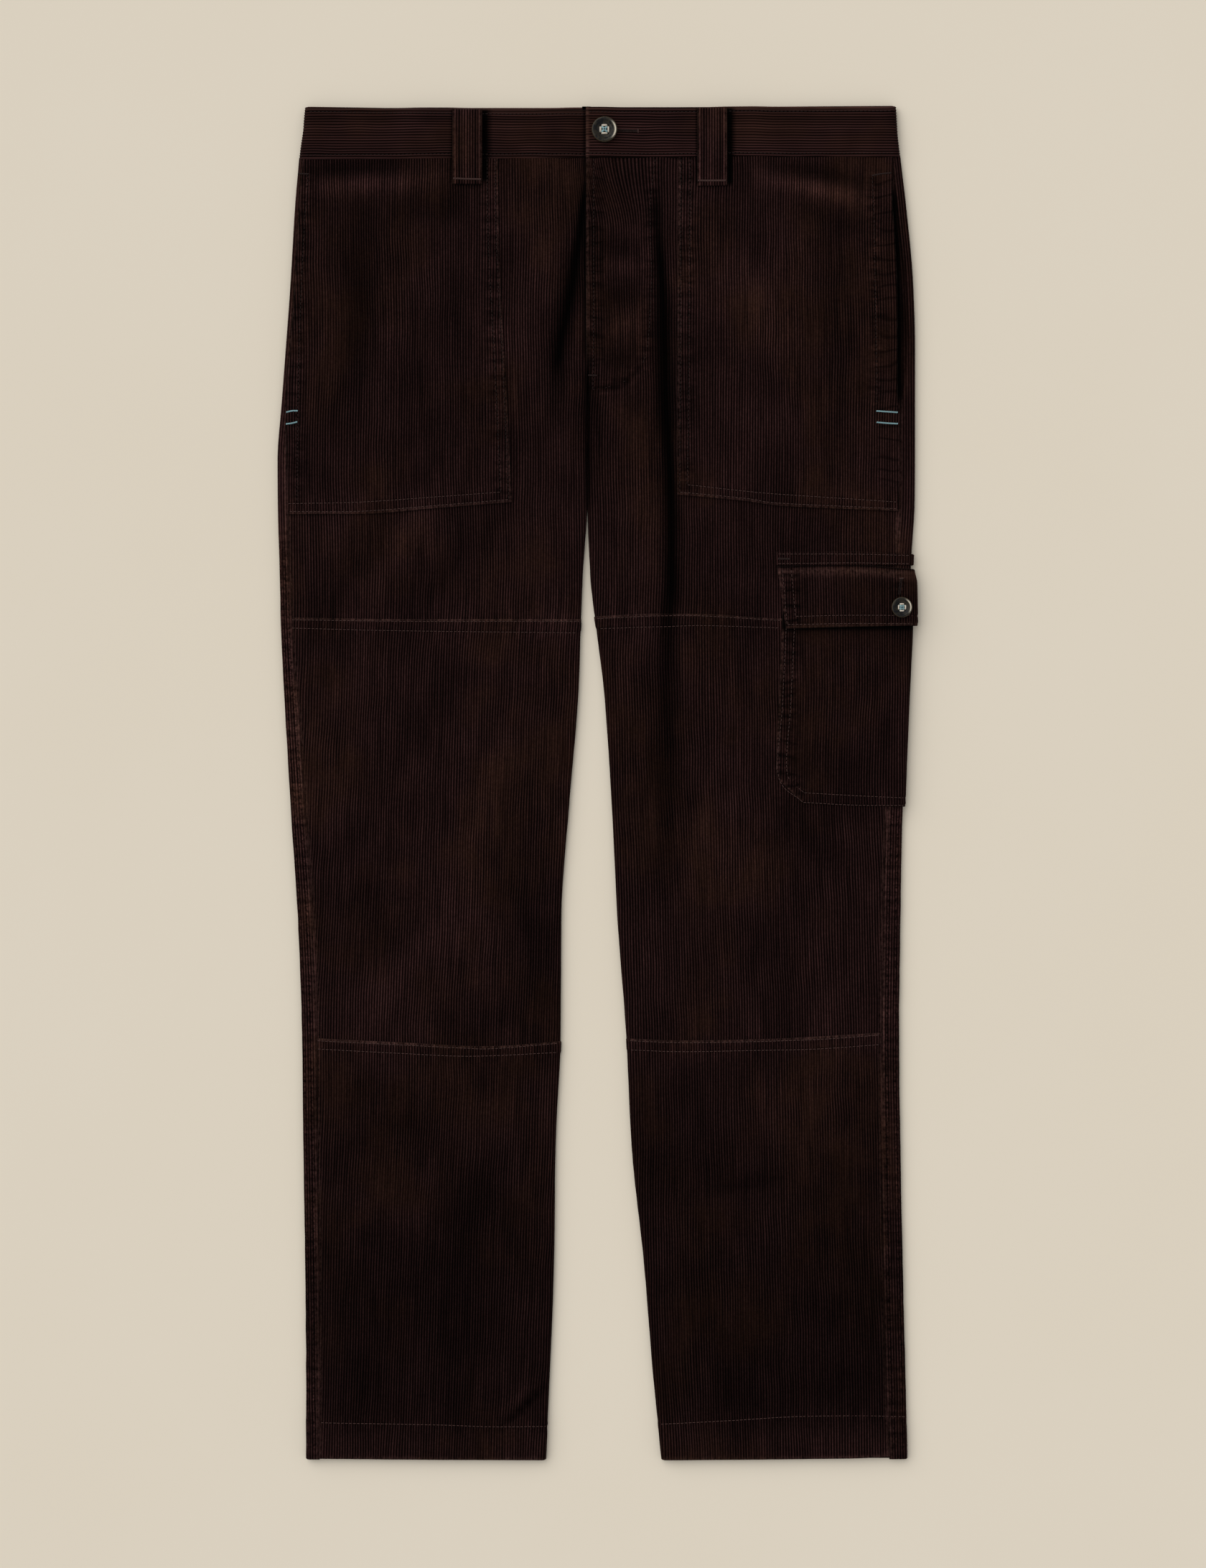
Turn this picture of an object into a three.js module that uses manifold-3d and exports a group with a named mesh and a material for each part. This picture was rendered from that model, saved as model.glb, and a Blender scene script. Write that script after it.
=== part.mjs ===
// Corduroy trousers laid flat on their back, in millimetres.
// X runs across, towards the wearer's left side. Y runs from the hems to the waist. Z is up.
// Right and left are the wearer's, so the right leg is on the side of negative X.
// Each piece is a wall of cloth through rings worked out from the tables below.
import * as THREE from "three";
import { mergeVertices } from "three/addons/utils/BufferGeometryUtils.js";
import Module from "manifold-3d";

const wasm = await Module();
wasm.setup();

// Cloth
const CLOTH = 1.8; // wall of one layer of corduroy
const HEM_CLOTH = 2.6; // wall where the hem is turned up
const BAND_CLOTH = 2.6; // wall of the doubled waistband
const SEAM = 0.3; // gap between pieces
const LAYER = CLOTH + SEAM; // how far out a piece on a panel lies
const CLEAR = 0.1; // what is added to a gap where sloping cloth lies over other cloth
const STACK = 2 * CLOTH + SEAM + CLEAR; // lowest top of a front panel over a back panel

// Heights on the body
const WAIST_SEAM = 488; // waistband seam
const HEM_STITCH = -498; // top of the turned-up hem
const FLY_END = 335; // where the left front stops lapping over the right
const CROTCH = 219.5; // where the legs part
const CENTRE = -8; // centre front and centre back seams
const LAP_EDGE = -8.4; // edge of the left front and waistband over the right
const UNDERLAP = 12; // how far the right front runs under the left
const BAND_UNDERLAP = 21;
const SINK = { from: -33, width: 14 }; // where the right front sinks to go under the left
const FLY_WIDTH = 26; // how far the raised left front reaches over the right
const BEND_LENGTH = 7; // stretch of a panel that may roll down at its inner edge
const SHOULDER = { outer: 40, inner: 34 }; // how far from an edge the height is that of the middle
const FOLD_MARGIN = 8; // the folds fade out this near to a rolled edge
const POCKET_SINK = { from: 446, length: 36, margin: 16 }; // the front dips under a pocket to the band
const SIDES = { right: -1, left: 1 };

function table(columns, rows) {
  return rows.map((row) => Object.fromEntries(columns.map((name, i) => [name, row[i]])));
}

// Edges of the legs and the hips, seen from above
const OUTLINE = table(
  ["y", "rightOuter", "rightInner", "leftInner", "leftOuter"],
  [
    [-527.4, -227.6, -40.5, 50.0, 241.8],
    [-464, -227.8, -37.5, 43.4, 240.5],
    [-375, -228.6, -34.0, 36.1, 238.3],
    [-285, -229.9, -32.8, 26.6, 236.6],
    [-195, -231.0, -28.8, 22.1, 235.5],
    [-106, -234.2, -28.3, 15.4, 236.6],
    [-16, -240.0, -22.1, 10.9, 238.3],
    [73, -245.0, -14.8, 4.8, 241.8],
    [118, -247.2, -13.2, -0.8, 243.8],
    [163, -248.4, -11.5, -5.9, 244.2],
    [CROTCH, -249.8, CENTRE - SEAM / 2, CENTRE + SEAM / 2, 247.6],
    [252, -250.0, CENTRE - SEAM / 2, CENTRE + SEAM / 2, 247.8],
    [297, -246.7, CENTRE - SEAM / 2, CENTRE + SEAM / 2, 247.8],
    [342, -243.3, CENTRE - SEAM / 2, CENTRE + SEAM / 2, 247.8],
    [387, -240.0, CENTRE - SEAM / 2, CENTRE + SEAM / 2, 246.5],
    [454, -236.0, CENTRE - SEAM / 2, CENTRE + SEAM / 2, 240.5],
    [WAIST_SEAM, -233.2, CENTRE - SEAM / 2, CENTRE + SEAM / 2, 236.6],
  ],
);

// Height of the cloth's top over the surface, at its rolled edges and between them
const HEIGHT = table(
  ["y", "outer", "rightInner", "leftInner", "middle"],
  [
    [-527.4, 7.0, 7.0, 7.0, 7.2],
    [-500, 7.0, 7.0, 7.0, 7.2],
    [-480, 5.8, 5.8, 5.8, 6.7],
    [-200, 5.6, 5.6, 5.6, 6.9],
    [0, 5.8, 5.8, 5.6, 7.1],
    [150, 6.0, 6.4, 4.9, 7.3],
    [230, 6.0, 7.2, 4.5, 7.5],
    [290, 6.2, 7.4, 4.8, 7.7],
    [FLY_END, 6.4, 7.8, 7.6, 7.8],
    [440, 6.4, 7.6, 7.6, 7.6],
    [WAIST_SEAM, 5.4, 7.4, 7.4, 7.4],
  ],
);

// Angle that each panel's inner edge rolls through, in degrees
const ROLL = table(
  ["y", "front", "back"],
  [
    [-528, 110, 47],
    [205, 110, 47],
    [222, 80, 0],
    [300, 80, 0],
    [FLY_END + 12, 0, 0],
    [WAIST_SEAM, 0, 0],
  ],
);

// Side seams, which lie on the top, inboard of the rolled edges
const SIDE_SEAM = table(
  ["y", "right", "left"],
  [
    [-528, -217.0, 228.0],
    [-453, -217.1, 224.3],
    [-257, -218.6, 221.5],
    [-176, -219.2, 221.8],
    [-85, -223.5, 223.0],
    [37, -232.1, 228.5],
    [127, -238.9, 232.0],
    [208, -241.6, 234.2],
    [252, -242.2, 234.8],
    [297, -242.3, 235.6],
    [342, -239.0, 235.4],
    [387, -235.7, 235.0],
    [454, -231.7, 231.4],
    [WAIST_SEAM, -229.0, 229.6],
  ],
);

// Seams across the legs and the hem edges, by x
const ACROSS = {
  rightThigh: table(["x", "y"], [[-240, 128.8], [-155, 127.6], [-13, 127.6]]),
  leftThigh: table(["x", "y"], [[-1, 129.8], [53, 131.9], [85, 131.5], [143, 128.2], [240, 127]]),
  rightKnee: table(["x", "y"], [[-219, -199.5], [-156, -202.5], [-94, -205.4], [-29, -201.3]]),
  leftKnee: table(["x", "y"], [[26, -199.5], [66, -200.9], [122, -200.1], [222, -195]]),
  rightHem: table(["x", "y"], [[-228, -523.4], [-213, -526.2], [-41, -527.4]]),
  leftHem: table(["x", "y"], [[50, -527.4], [190, -526], [242, -523.6]]),
};

// Large creases that run down the cloth: a trough where rise is negative, else a ridge
const CREASES = {
  right: [
    table(
      ["y", "x", "half", "rise"],
      [[462, -9, 4, 0], [450, -11, 5, -2.4], [404, -18, 5.5, -3.6], [326, -30.5, 6, -3.2],
        [290, -31.8, 7, -1.2], [262, -32, 8, 0]],
    ),
    table(
      ["y", "x", "half", "rise"],
      [[470, -28, 12, 0], [420, -36, 14, 1.4], [350, -50, 15, 1.2], [280, -53, 16, 0]],
    ),
    table(
      ["y", "x", "half", "rise"],
      [[425, -9, 4, 0], [370, -15, 6, 1], [320, -18, 6, 1.2], [240, -17, 7, 0]],
    ),
  ],
  left: [
    table(
      ["y", "x", "half", "rise"],
      [[462, 45, 5, 0], [449, 46, 5.5, -1.8], [387, 50, 6, -2.8], [303, 54.6, 7, -3.4],
        [219, 57, 8.5, -3.8], [163, 57, 8, -3.2], [118, 54.6, 7.5, -2.4], [-5, 54.6, 9, -1],
        [-89, 54, 10, 0]],
    ),
    table(
      ["y", "x", "half", "rise"],
      [[440, 72, 12, 0], [300, 78, 14, 1], [180, 84, 15, 1.2], [60, 78, 16, 0.8], [-60, 74, 18, 0]],
    ),
    table(
      ["y", "x", "half", "rise"],
      [[430, 30, 8, 0], [330, 36, 9, 0.8], [220, 38, 10, 1.4], [120, 36, 11, 1], [0, 34, 14, 0]],
    ),
    table(
      ["y", "x", "half", "rise"],
      [[340, -4, 6, 0], [318, 0, 7, -1.2], [260, 3, 10, -1.8], [200, 4, 11, -1.4], [150, 6, 12, 0]],
    ),
  ],
};

// Soft folds between two points
const FOLD_COLUMNS = ["x0", "y0", "x1", "y1", "half", "rise"];
const FOLDS = {
  right: table(FOLD_COLUMNS, [
    [-186, 460, -186, 275, 14, -0.9],
    [-110, 425, -105, 280, 12, -0.6],
    [-130, 474, -228, 455, 10, 0.9],
    [-150, 222, -215, 128, 12, -0.8],
    [-68, 222, -152, 128, 14, -0.9],
    [-116, 238, -185, 146, 14, 0.7],
    [-96, 100, -192, -20, 18, -0.8],
    [-72, 70, -110, -125, 22, 0.8],
    [-104, -110, -206, -190, 18, 0.7],
    [-49, -50, -47, -195, 14, -0.7],
    [-100, -275, -106, -460, 30, -0.7],
    [-71, -500, -40, -476, 4, -0.8],
  ]),
  left: table(FOLD_COLUMNS, [
    [138, 470, 216, 447, 9, 0.8],
    [184, 450, 187, 280, 14, -0.8],
    [196, 309, 232, 308, 5, -0.7],
    [146, -14, 180, -66, 12, -0.7],
    [104, 66, 112, -110, 24, 0.7],
    [82, -320, 146, -305, 6, -1.1],
    [30, -288, 141, -314, 16, -0.6],
  ]),
};

// Patch pockets on the fronts, from their inner edge to the side seam
const POCKET_EDGE = table(
  ["y", "right", "left"],
  [
    [208, -66.8, 62.0],
    [297, -71.0, 62.4],
    [375, -75.5, 62.8],
    [427, -77.4, 63.2],
    [WAIST_SEAM, -78.4, 63.6],
  ],
);
const POCKET_HEM = {
  right: table(["x", "y"], [[-250, 210.2], [-186, 210.3], [-131, 214.4], [-66, 219.6]]),
  left: table(["x", "y"], [[61, 225.4], [116, 220.2], [143, 216.6], [250, 212]]),
};
const MOUTH = { top: 470, bottom: 296, gape: 1.2, reach: 22, fade: 40 };

// Cargo pocket on the left leg: half shows, half is folded under with the leg
const BAG = { top: 156, bottom: -16.5, hidden: 187, hiddenCut: 206, cut: 5 };
const UNDER_X = 181; // from here outward the leg lies flat on the hidden half
const FLAP_HINGE = 157; // below this the flap lies on the pocket
const FLAP_SEAM = 168.6; // above this it lies on the leg
const BAG_EDGE = table(
  ["y", "x", "hidden"],
  [
    [-18, 161, BAG.hiddenCut],
    [-13.5, 158.4, BAG.hiddenCut - 3],
    [BAG.cut, 139.4, BAG.hidden],
    [BAG.top, 145.6, BAG.hidden],
  ],
);
const FLAP = { top: 169.6, bottom: 122.4, stand: 1.9 };
const FLAP_EDGE = table(
  ["y", "x", "hidden"],
  [[120, 148.3, 188], [122, 148.1, 187.6], [168.7, 142.3, 182]],
);
const FLAP_STRIP = { top: 179.8, bottom: 170.4, x: 139.1, hidden: 182 };
const SPREAD = 14; // how far the leg slopes down beside a layer that lies under it

// Waistband and loops
const BAND = { edge: 7.6, top: 8.0, lap: 9.0, sunk: 6.0, shoulder: 40 };
const BAND_EDGE = table(
  ["y", "rightOuter", "leftOuter"],
  [[WAIST_SEAM - 2, -233.2, 236.6], [528, -228.5, 233.0]],
);
const BAND_TOP = {
  right: table(["x", "y"], [[-230, 526.8], [-120, 525.0], [22, 524.0]]),
  left: table(["x", "y"], [[-9, 525.9], [120, 526.6], [234, 527.4]]),
};
const BAND_SEAM = table(["x", "y"], [[-235, 487], [238, 489]]);
const LOOP_WIDTH = 21.6;
const LOOP_BOW = 1; // how far a loop stands off in its middle
const LOOP_STEP = { from: 474, length: 11 }; // where a front loop climbs from pocket to band
const LOOP_ROWS = [471, 474, 478, 482, 486, 496, 507, 518];
const FRONT_LOOPS = [
  { name: "belt_loop_front_right", x: -101.4, bottom: 467.4, top: 524.4 },
  { name: "belt_loop_front_left", x: 89.2, bottom: 466, top: 525.6 },
];
const BACK_LOOPS = [
  { name: "belt_loop_back_right", x: -128, bottom: 467, top: 524 },
  { name: "belt_loop_centre_back", x: CENTRE, bottom: 467, top: 523 },
  { name: "belt_loop_back_left", x: 112, bottom: 467, top: 525 },
];

// Where the leg is raised to its full height over the layers under it
const RAISED = {
  bagBottom: BAG.bottom - 2,
  flapBottom: FLAP.bottom - 3,
  stripTop: FLAP_STRIP.top + 1,
  loopBottom: 465,
  loopHalf: LOOP_WIDTH / 2 + 1,
};

// Buttons, with four holes
const WAIST_BUTTON = { x: 5.3, y: 508.8, radius: 10, height: 3.2 };
const CARGO_BUTTON = { x: 236.5, y: 136.8, radius: 8, height: 2.8 };
const BUTTON_HOLE = { radius: 0.9, offset: 0.17 };
const BUTTON_PROFILE = table(
  ["r", "h"],
  [[0, 0], [0.82, 0], [0.98, 0.25], [0.98, 0.75], [0.88, 1], [0.76, 0.96], [0.62, 0.66], [0, 0.62]],
);

// Columns of each grid, by x. They follow the edges of what lies under the leg.
const LOOP_RAMPS = BACK_LOOPS.map(({ x }) => {
  const near = RAISED.loopHalf;
  return { start: x - near - SPREAD, from: x - near, to: x + near, end: x + near + SPREAD };
});
const [RIGHT_LOOP, CENTRE_LOOP, LEFT_LOOP] = LOOP_RAMPS;
const rightRamp = [RIGHT_LOOP.start, RIGHT_LOOP.from, RIGHT_LOOP.to, RIGHT_LOOP.end];
const leftRamp = [LEFT_LOOP.end, LEFT_LOOP.to, LEFT_LOOP.from, LEFT_LOOP.start];
const cargoRamp = [UNDER_X, UNDER_X - SPREAD];
const PLACES = {
  right: {
    pocket: [-218, -202, -186, -170, ...rightRamp, -89],
    thigh: [-206, -188, -170, -152, -134, -116, -98, -80, -62, -46],
    shin: [-192, -168, -144, -120, -96, -72, -56],
    back: [CENTRE_LOOP.from, CENTRE_LOOP.start, ...[...rightRamp].reverse(), -198],
    bandUnder: [CENTRE_LOOP.from, CENTRE_LOOP.start, ...[...rightRamp].reverse()],
    bandOver: [
      ...[-192, ...rightRamp, -60, CENTRE_LOOP.start, -26, CENTRE_LOOP.from, -11],
      ...[CENTRE_LOOP.to, CENTRE_LOOP.end],
    ],
  },
  left: {
    pocket: [216, 199, ...cargoRamp, 152, ...leftRamp, 75],
    thigh: [216, 199, ...cargoRamp, 150, 130, 110, 94, 82, 72, 64, 58, 52, 46, 38, 28],
    shin: [200, 176, 152, 128, 104, 84, 68],
    back: [
      ...[CENTRE_LOOP.to, CENTRE_LOOP.end, ...[...leftRamp].reverse()],
      ...[...[...cargoRamp].reverse(), 210],
    ],
    wrap: [...[...cargoRamp].reverse(), 199, 216],
    bandUnder: [CENTRE_LOOP.to, CENTRE_LOOP.end, ...[...leftRamp].reverse()],
    bandOver: [190, ...leftRamp, 60, 43, 37, 31, 25, CENTRE_LOOP.end, CENTRE_LOOP.to],
  },
};
// Shares of the way across the hip from the pocket to the inner bend, and along each bend
const HIP_STEPS = {
  right: [0.1, 0.21, 0.32, 0.43, 0.54, 0.65, 0.76, 0.88, 1],
  left: [0.05, 0.11, 0.18, 0.26, 0.36, 0.48, 0.6, 0.72, 0.86, 1],
};
const FRONT_BEND = [0.25, 0.5, 0.75, 1];
const BACK_BEND = [1, 0.75, 0.45];
const SIDE_ANGLES = [45, 90, 135]; // on the rolled outer edge, from the top

// Rows of each grid, by y
const FLAP_RAMP = [RAISED.flapBottom - SPREAD, RAISED.flapBottom];
const STRIP_RAMP = [RAISED.stripTop, RAISED.stripTop + SPREAD];
const BAG_RAMP = [RAISED.bagBottom - SPREAD, RAISED.bagBottom];
const LOOP_RAMP = [RAISED.loopBottom - SPREAD, RAISED.loopBottom];
const HEM_ROWS = [HEM_STITCH, HEM_STITCH + 4];
const LEVELS = {
  right: {
    belowPocket: [150, 175, 197],
    pocket: [235, 254, 275, 297, 312, 327, 342, 364, 387, 410, 430, ...LOOP_RAMP, 477],
    leg: [-165, -125, -85, -45, -5, 40, 85],
    shin: [...HEM_ROWS, -470, -425, -375, -320, -265, -230],
    back: [
      ...[...HEM_ROWS, -464, -375, -285, -195, -106, -60, -16, 28, 73, 118, 163, 205],
      ...[222, 254, 297, 319, 342, 387, 430, ...LOOP_RAMP],
    ],
  },
  left: {
    belowPocket: [FLAP_HINGE, FLAP_SEAM, ...STRIP_RAMP],
    pocket: [235, 254, 275, 297, 320, 342, 364, 387, 410, 430, ...LOOP_RAMP, 477],
    leg: [-150, -100, -60, ...BAG_RAMP, 15, 45, 75, ...FLAP_RAMP],
    shin: [...HEM_ROWS, -470, -425, -375, -330, -305, -270, -230],
    back: [
      ...[...HEM_ROWS, -464, -375, -285, -195, -106, ...BAG_RAMP, 28, 73, ...FLAP_RAMP],
      ...[FLAP_HINGE, FLAP_SEAM, ...STRIP_RAMP, 205, 222, 254, 297, 342, 387, 430, ...LOOP_RAMP],
    ],
  },
};

const DARK_BROWN = new THREE.Color(0x1b0f0f);
const CORD = { color: DARK_BROWN, roughness: 0.95, metalness: 0 };
const HORN = { color: new THREE.Color(0x17100c), roughness: 0.3, metalness: 0 };

const clamp = (t) => Math.min(1, Math.max(0, t));
const mix = (a, b, t) => a + (b - a) * t;
const radians = (degrees) => (degrees * Math.PI) / 180;

function smooth(t) {
  const s = clamp(t);
  return s * s * (3 - 2 * s);
}

// The value of a column at a place along the table's first column, in straight stretches.
function straight(rows, key, column, at) {
  const order = rows[0][key] < rows[rows.length - 1][key] ? rows : [...rows].reverse();
  if (at <= order[0][key]) return order[0][column];
  for (let i = 1; i < order.length; i++) {
    const a = order[i - 1];
    const b = order[i];
    if (at <= b[key]) return mix(a[column], b[column], (at - a[key]) / (b[key] - a[key]));
  }
  return order[order.length - 1][column];
}

// The same on a smooth curve through the rows, whose slope never overshoots them.
function curved(rows, key, column, at) {
  const order = rows[0][key] < rows[rows.length - 1][key] ? rows : [...rows].reverse();
  const last = order.length - 1;
  const slope = (i) => {
    if (i < 0 || i >= last) return 0;
    return (order[i + 1][column] - order[i][column]) / (order[i + 1][key] - order[i][key]);
  };
  const tangent = (i) => {
    if (i === 0) return slope(0);
    if (i === last) return slope(last - 1);
    const before = slope(i - 1);
    const after = slope(i);
    return before * after <= 0 ? 0 : (2 * before * after) / (before + after);
  };
  if (at <= order[0][key]) return order[0][column];
  for (let i = 1; i <= last; i++) {
    const a = order[i - 1];
    const b = order[i];
    if (at > b[key]) continue;
    const span = b[key] - a[key];
    const t = (at - a[key]) / span;
    return (
      (1 + 2 * t) * (1 - t) ** 2 * a[column] +
      t * (1 - t) ** 2 * span * tangent(i - 1) +
      t * t * (3 - 2 * t) * b[column] +
      t * t * (t - 1) * span * tangent(i)
    );
  }
  return order[last][column];
}

const outline = (side, edge, y) => curved(OUTLINE, "y", side + edge, y);
const height = (column, y) => curved(HEIGHT, "y", column, y);
const sideSeam = (side, y) => curved(SIDE_SEAM, "y", side, y);
const across = (rows, x) => curved(rows, "x", "y", x);
const lapped = (y) => smooth((y - FLY_END + 16) / 20);

// 1 inside a rectangle, falling to 0 over SPREAD outside it.
function over(x, y, x0, x1, y0, y1) {
  const away = Math.max(x0 - x, x - x1, y0 - y, y - y1, 0);
  return clamp(1 - away / SPREAD);
}

// 1 where the flap lies on the pocket, falling to 0 at its seam to the leg.
const flapRaised = (y) => clamp((FLAP_SEAM - y) / (FLAP_SEAM - FLAP_HINGE));

// How far the whole leg is raised by the layers of pocket, flap and loop that lie under it.
function lift(x, y) {
  const bag = over(x, y, UNDER_X, Infinity, RAISED.bagBottom, RAISED.stripTop);
  const flap = Math.min(over(x, y, UNDER_X, Infinity, RAISED.flapBottom, Infinity), flapRaised(y));
  const loops = BACK_LOOPS.map((loop) =>
    over(x, y, loop.x - RAISED.loopHalf, loop.x + RAISED.loopHalf, RAISED.loopBottom, Infinity),
  );
  return LAYER * Math.max(bag + flap, ...loops);
}

// The creases and folds of one side, as a height to add.
function folds(side, x, y) {
  let sum = 0;
  for (const crease of CREASES[side]) {
    const rise = curved(crease, "y", "rise", y);
    if (rise === 0) continue;
    const off = (x - curved(crease, "y", "x", y)) / curved(crease, "y", "half", y);
    sum += rise * Math.exp(-off * off);
  }
  for (const fold of FOLDS[side]) {
    const dx = fold.x1 - fold.x0;
    const dy = fold.y1 - fold.y0;
    const length = Math.hypot(dx, dy);
    const along = ((x - fold.x0) * dx + (y - fold.y0) * dy) / length ** 2;
    if (along <= 0 || along >= 1) continue;
    const off = ((x - fold.x0) * dy - (y - fold.y0) * dx) / (length * fold.half);
    sum += fold.rise * Math.sin(Math.PI * along) ** 0.7 * Math.exp(-off * off);
  }
  return sum;
}

// 1 where a patch pocket lies on the front, falling to 0 beside it.
function underPocket(side, x, y) {
  const inner = curved(POCKET_EDGE, "y", side, y);
  return smooth((SIDES[side] * (x - inner)) / 16 + 0.7);
}

// Height of the front cloth's top at a point, before it is raised by what lies under the leg.
function topHeight(side, x, y) {
  const s = SIDES[side];
  const outerRoll = height("outer", y);
  const innerRoll = height(side + "Inner", y);
  const middle = height("middle", y);
  const fromOuter = s * (outline(side, "Outer", y) - x) - outerRoll / 2;
  const fromInner = s * (x - outline(side, "Inner", y)) - innerRoll / 2;
  const open = clamp(straight(ROLL, "y", "front", y) / 80);
  const outerShare = 1 - smooth(fromOuter / SHOULDER.outer);
  const innerShare = 1 - smooth(fromInner / SHOULDER.inner);
  let z = middle + (outerRoll - middle) * outerShare + (innerRoll - middle) * innerShare;
  const window = smooth(fromOuter / FOLD_MARGIN) * mix(1, smooth(fromInner / FOLD_MARGIN), open);
  z += folds(side, x, y) * window;
  const nearBand = smooth((y - POCKET_SINK.from) / POCKET_SINK.length);
  z -= LAYER * underPocket(side, x, y) * nearBand * smooth(fromOuter / POCKET_SINK.margin);
  if (side === "right") {
    const under = lapped(y) * smooth((x - SINK.from) / SINK.width);
    if (under === 0) return Math.max(z, STACK);
    const cover = topHeight("left", Math.max(x, CENTRE + 1), y) - LAYER - 2 * CLEAR;
    return Math.max(mix(z, Math.min(z, cover), under), STACK);
  }
  const overLap = lapped(y) * smooth((FLY_WIDTH - x) / 10);
  return Math.max(z, STACK + (LAYER + 2 * CLEAR) * overLap);
}

// A station gives a point of the leg's outer surface at a height y, and the way out of the cloth there.
const onTop = (side, xAt) => (y) => {
  const x = xAt(y);
  return { x, z: topHeight(side, x, y) + lift(x, y), nx: 0, nz: 1 };
};

const underneath = (xAt) => (y) => {
  const x = xAt(y);
  return { x, z: lift(x, y), nx: 0, nz: -1 };
};

// The rolled outer edge, by its angle from the top.
const onSide = (side, degrees) => (y) => {
  const s = SIDES[side];
  const radius = height("outer", y) / 2;
  const centre = outline(side, "Outer", y) - s * radius;
  const nx = s * Math.sin(radians(degrees));
  const nz = Math.cos(radians(degrees));
  return { x: centre + radius * nx, z: radius + lift(centre, y) + radius * nz, nx, nz };
};

const rollRadius = (side, y) => height(side + "Inner", y) / 2;
const frontRoll = (y) => radians(straight(ROLL, "y", "front", y));
const backRoll = (y) => radians(straight(ROLL, "y", "back", y));

// Where the stretch that may roll starts, so that the inner edge ends on the outline.
function bendStart(side, y, roll, edge) {
  const radius = rollRadius(side, y);
  const reach = BEND_LENGTH - radius * roll + radius * Math.sin(Math.min(roll, Math.PI / 2));
  return edge + SIDES[side] * reach;
}

function frontEdge(side, y) {
  const seam = outline(side, "Inner", y);
  if (side === "left") return mix(seam, LAP_EDGE, lapped(y));
  return mix(seam, UNDERLAP, smooth((y - FLY_END - 11) / 14));
}

const frontBendStart = (side, y) => bendStart(side, y, frontRoll(y), frontEdge(side, y));
const backBendStart = (side, y) => bendStart(side, y, backRoll(y), outline(side, "Inner", y));

// The inner edge of a panel: flat, and then rolled through its angle. Part runs from 0 to 1.
const onBend = (side, isFront, part) => (y) => {
  const s = SIDES[side];
  const roll = isFront ? frontRoll(y) : backRoll(y);
  const start = isFront ? frontBendStart(side, y) : backBendStart(side, y);
  const radius = rollRadius(side, y);
  const flat = BEND_LENGTH - radius * roll;
  const along = BEND_LENGTH * part;
  const angle = Math.max(0, along - flat) / radius;
  const facing = isFront ? 1 : -1;
  const flatX = start - s * Math.min(along, flat);
  const raised = lift(flatX, y);
  const flatZ = isFront ? topHeight(side, flatX, y) : 0;
  return {
    x: flatX - s * radius * Math.sin(angle),
    z: raised + flatZ - facing * radius * (1 - Math.cos(angle)),
    nx: -s * Math.sin(angle),
    nz: facing * Math.cos(angle),
  };
};

const rollEnd = (side, y) => outline(side, "Outer", y) - (SIDES[side] * height("outer", y)) / 2;
const pocketEdge = (side, y) => curved(POCKET_EDGE, "y", side, y);
const seamEdge = (side, y) => sideSeam(side, y) - (SIDES[side] * SEAM) / 2;

// Places across the leg, kept in order: no nearer to a limit than their turn along the row.
const inboardOf = (side, limit, target, turn) => {
  const s = SIDES[side];
  return s * Math.min(s * target, s * limit - 2 * turn);
};
const outboardOf = (side, limit, target, turn) => {
  const s = SIDES[side];
  return s * Math.max(s * target, s * limit + 2 * turn);
};

// From the side seam to the patch pocket's inner edge.
function pocketStations(side) {
  const places = PLACES[side].pocket;
  return [
    onTop(side, (y) => seamEdge(side, y)),
    ...places.map((x, i) => onTop(side, (y) => inboardOf(side, seamEdge(side, y), x, i + 1))),
    onTop(side, (y) => pocketEdge(side, y)),
  ];
}

// On from there to the inner edge.
function hipStations(side, fractions) {
  const middle = fractions.map((f) =>
    onTop(side, (y) => mix(pocketEdge(side, y), frontBendStart(side, y), f)),
  );
  return [...pocketStations(side), ...middle, ...FRONT_BEND.map((part) => onBend(side, true, part))];
}

// From the side seam to the inner edge of a leg.
function legStations(side, places) {
  return [
    onTop(side, (y) => seamEdge(side, y)),
    ...places.map((x, i) => onTop(side, (y) => inboardOf(side, seamEdge(side, y), x, i + 1))),
    onTop(side, (y) => frontBendStart(side, y)),
    ...FRONT_BEND.map((part) => onBend(side, true, part)),
  ];
}

// From the inner edge under the leg, round its outer edge and up to the side seam.
function backStations(side) {
  const s = SIDES[side];
  const seam = (y) => sideSeam(side, y) + (s * SEAM) / 2;
  return [
    ...BACK_BEND.map((part) => onBend(side, false, part)),
    underneath((y) => backBendStart(side, y)),
    ...PLACES[side].back.map((x, i) =>
      underneath((y) => outboardOf(side, backBendStart(side, y), x, i + 1)),
    ),
    onSide(side, 180),
    ...[...SIDE_ANGLES].reverse().map((angle) => onSide(side, angle)),
    onTop(side, (y) => rollEnd(side, y)),
    onTop(side, (y) => mix(rollEnd(side, y), seam(y), 0.5)),
    onTop(side, seam),
  ];
}

// Places in a piece's height: its bottom edge, fixed heights and its top edge, as functions of x
const levels = (bottom, heights, top) => [bottom, ...heights.map((y) => () => y), top];

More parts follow.
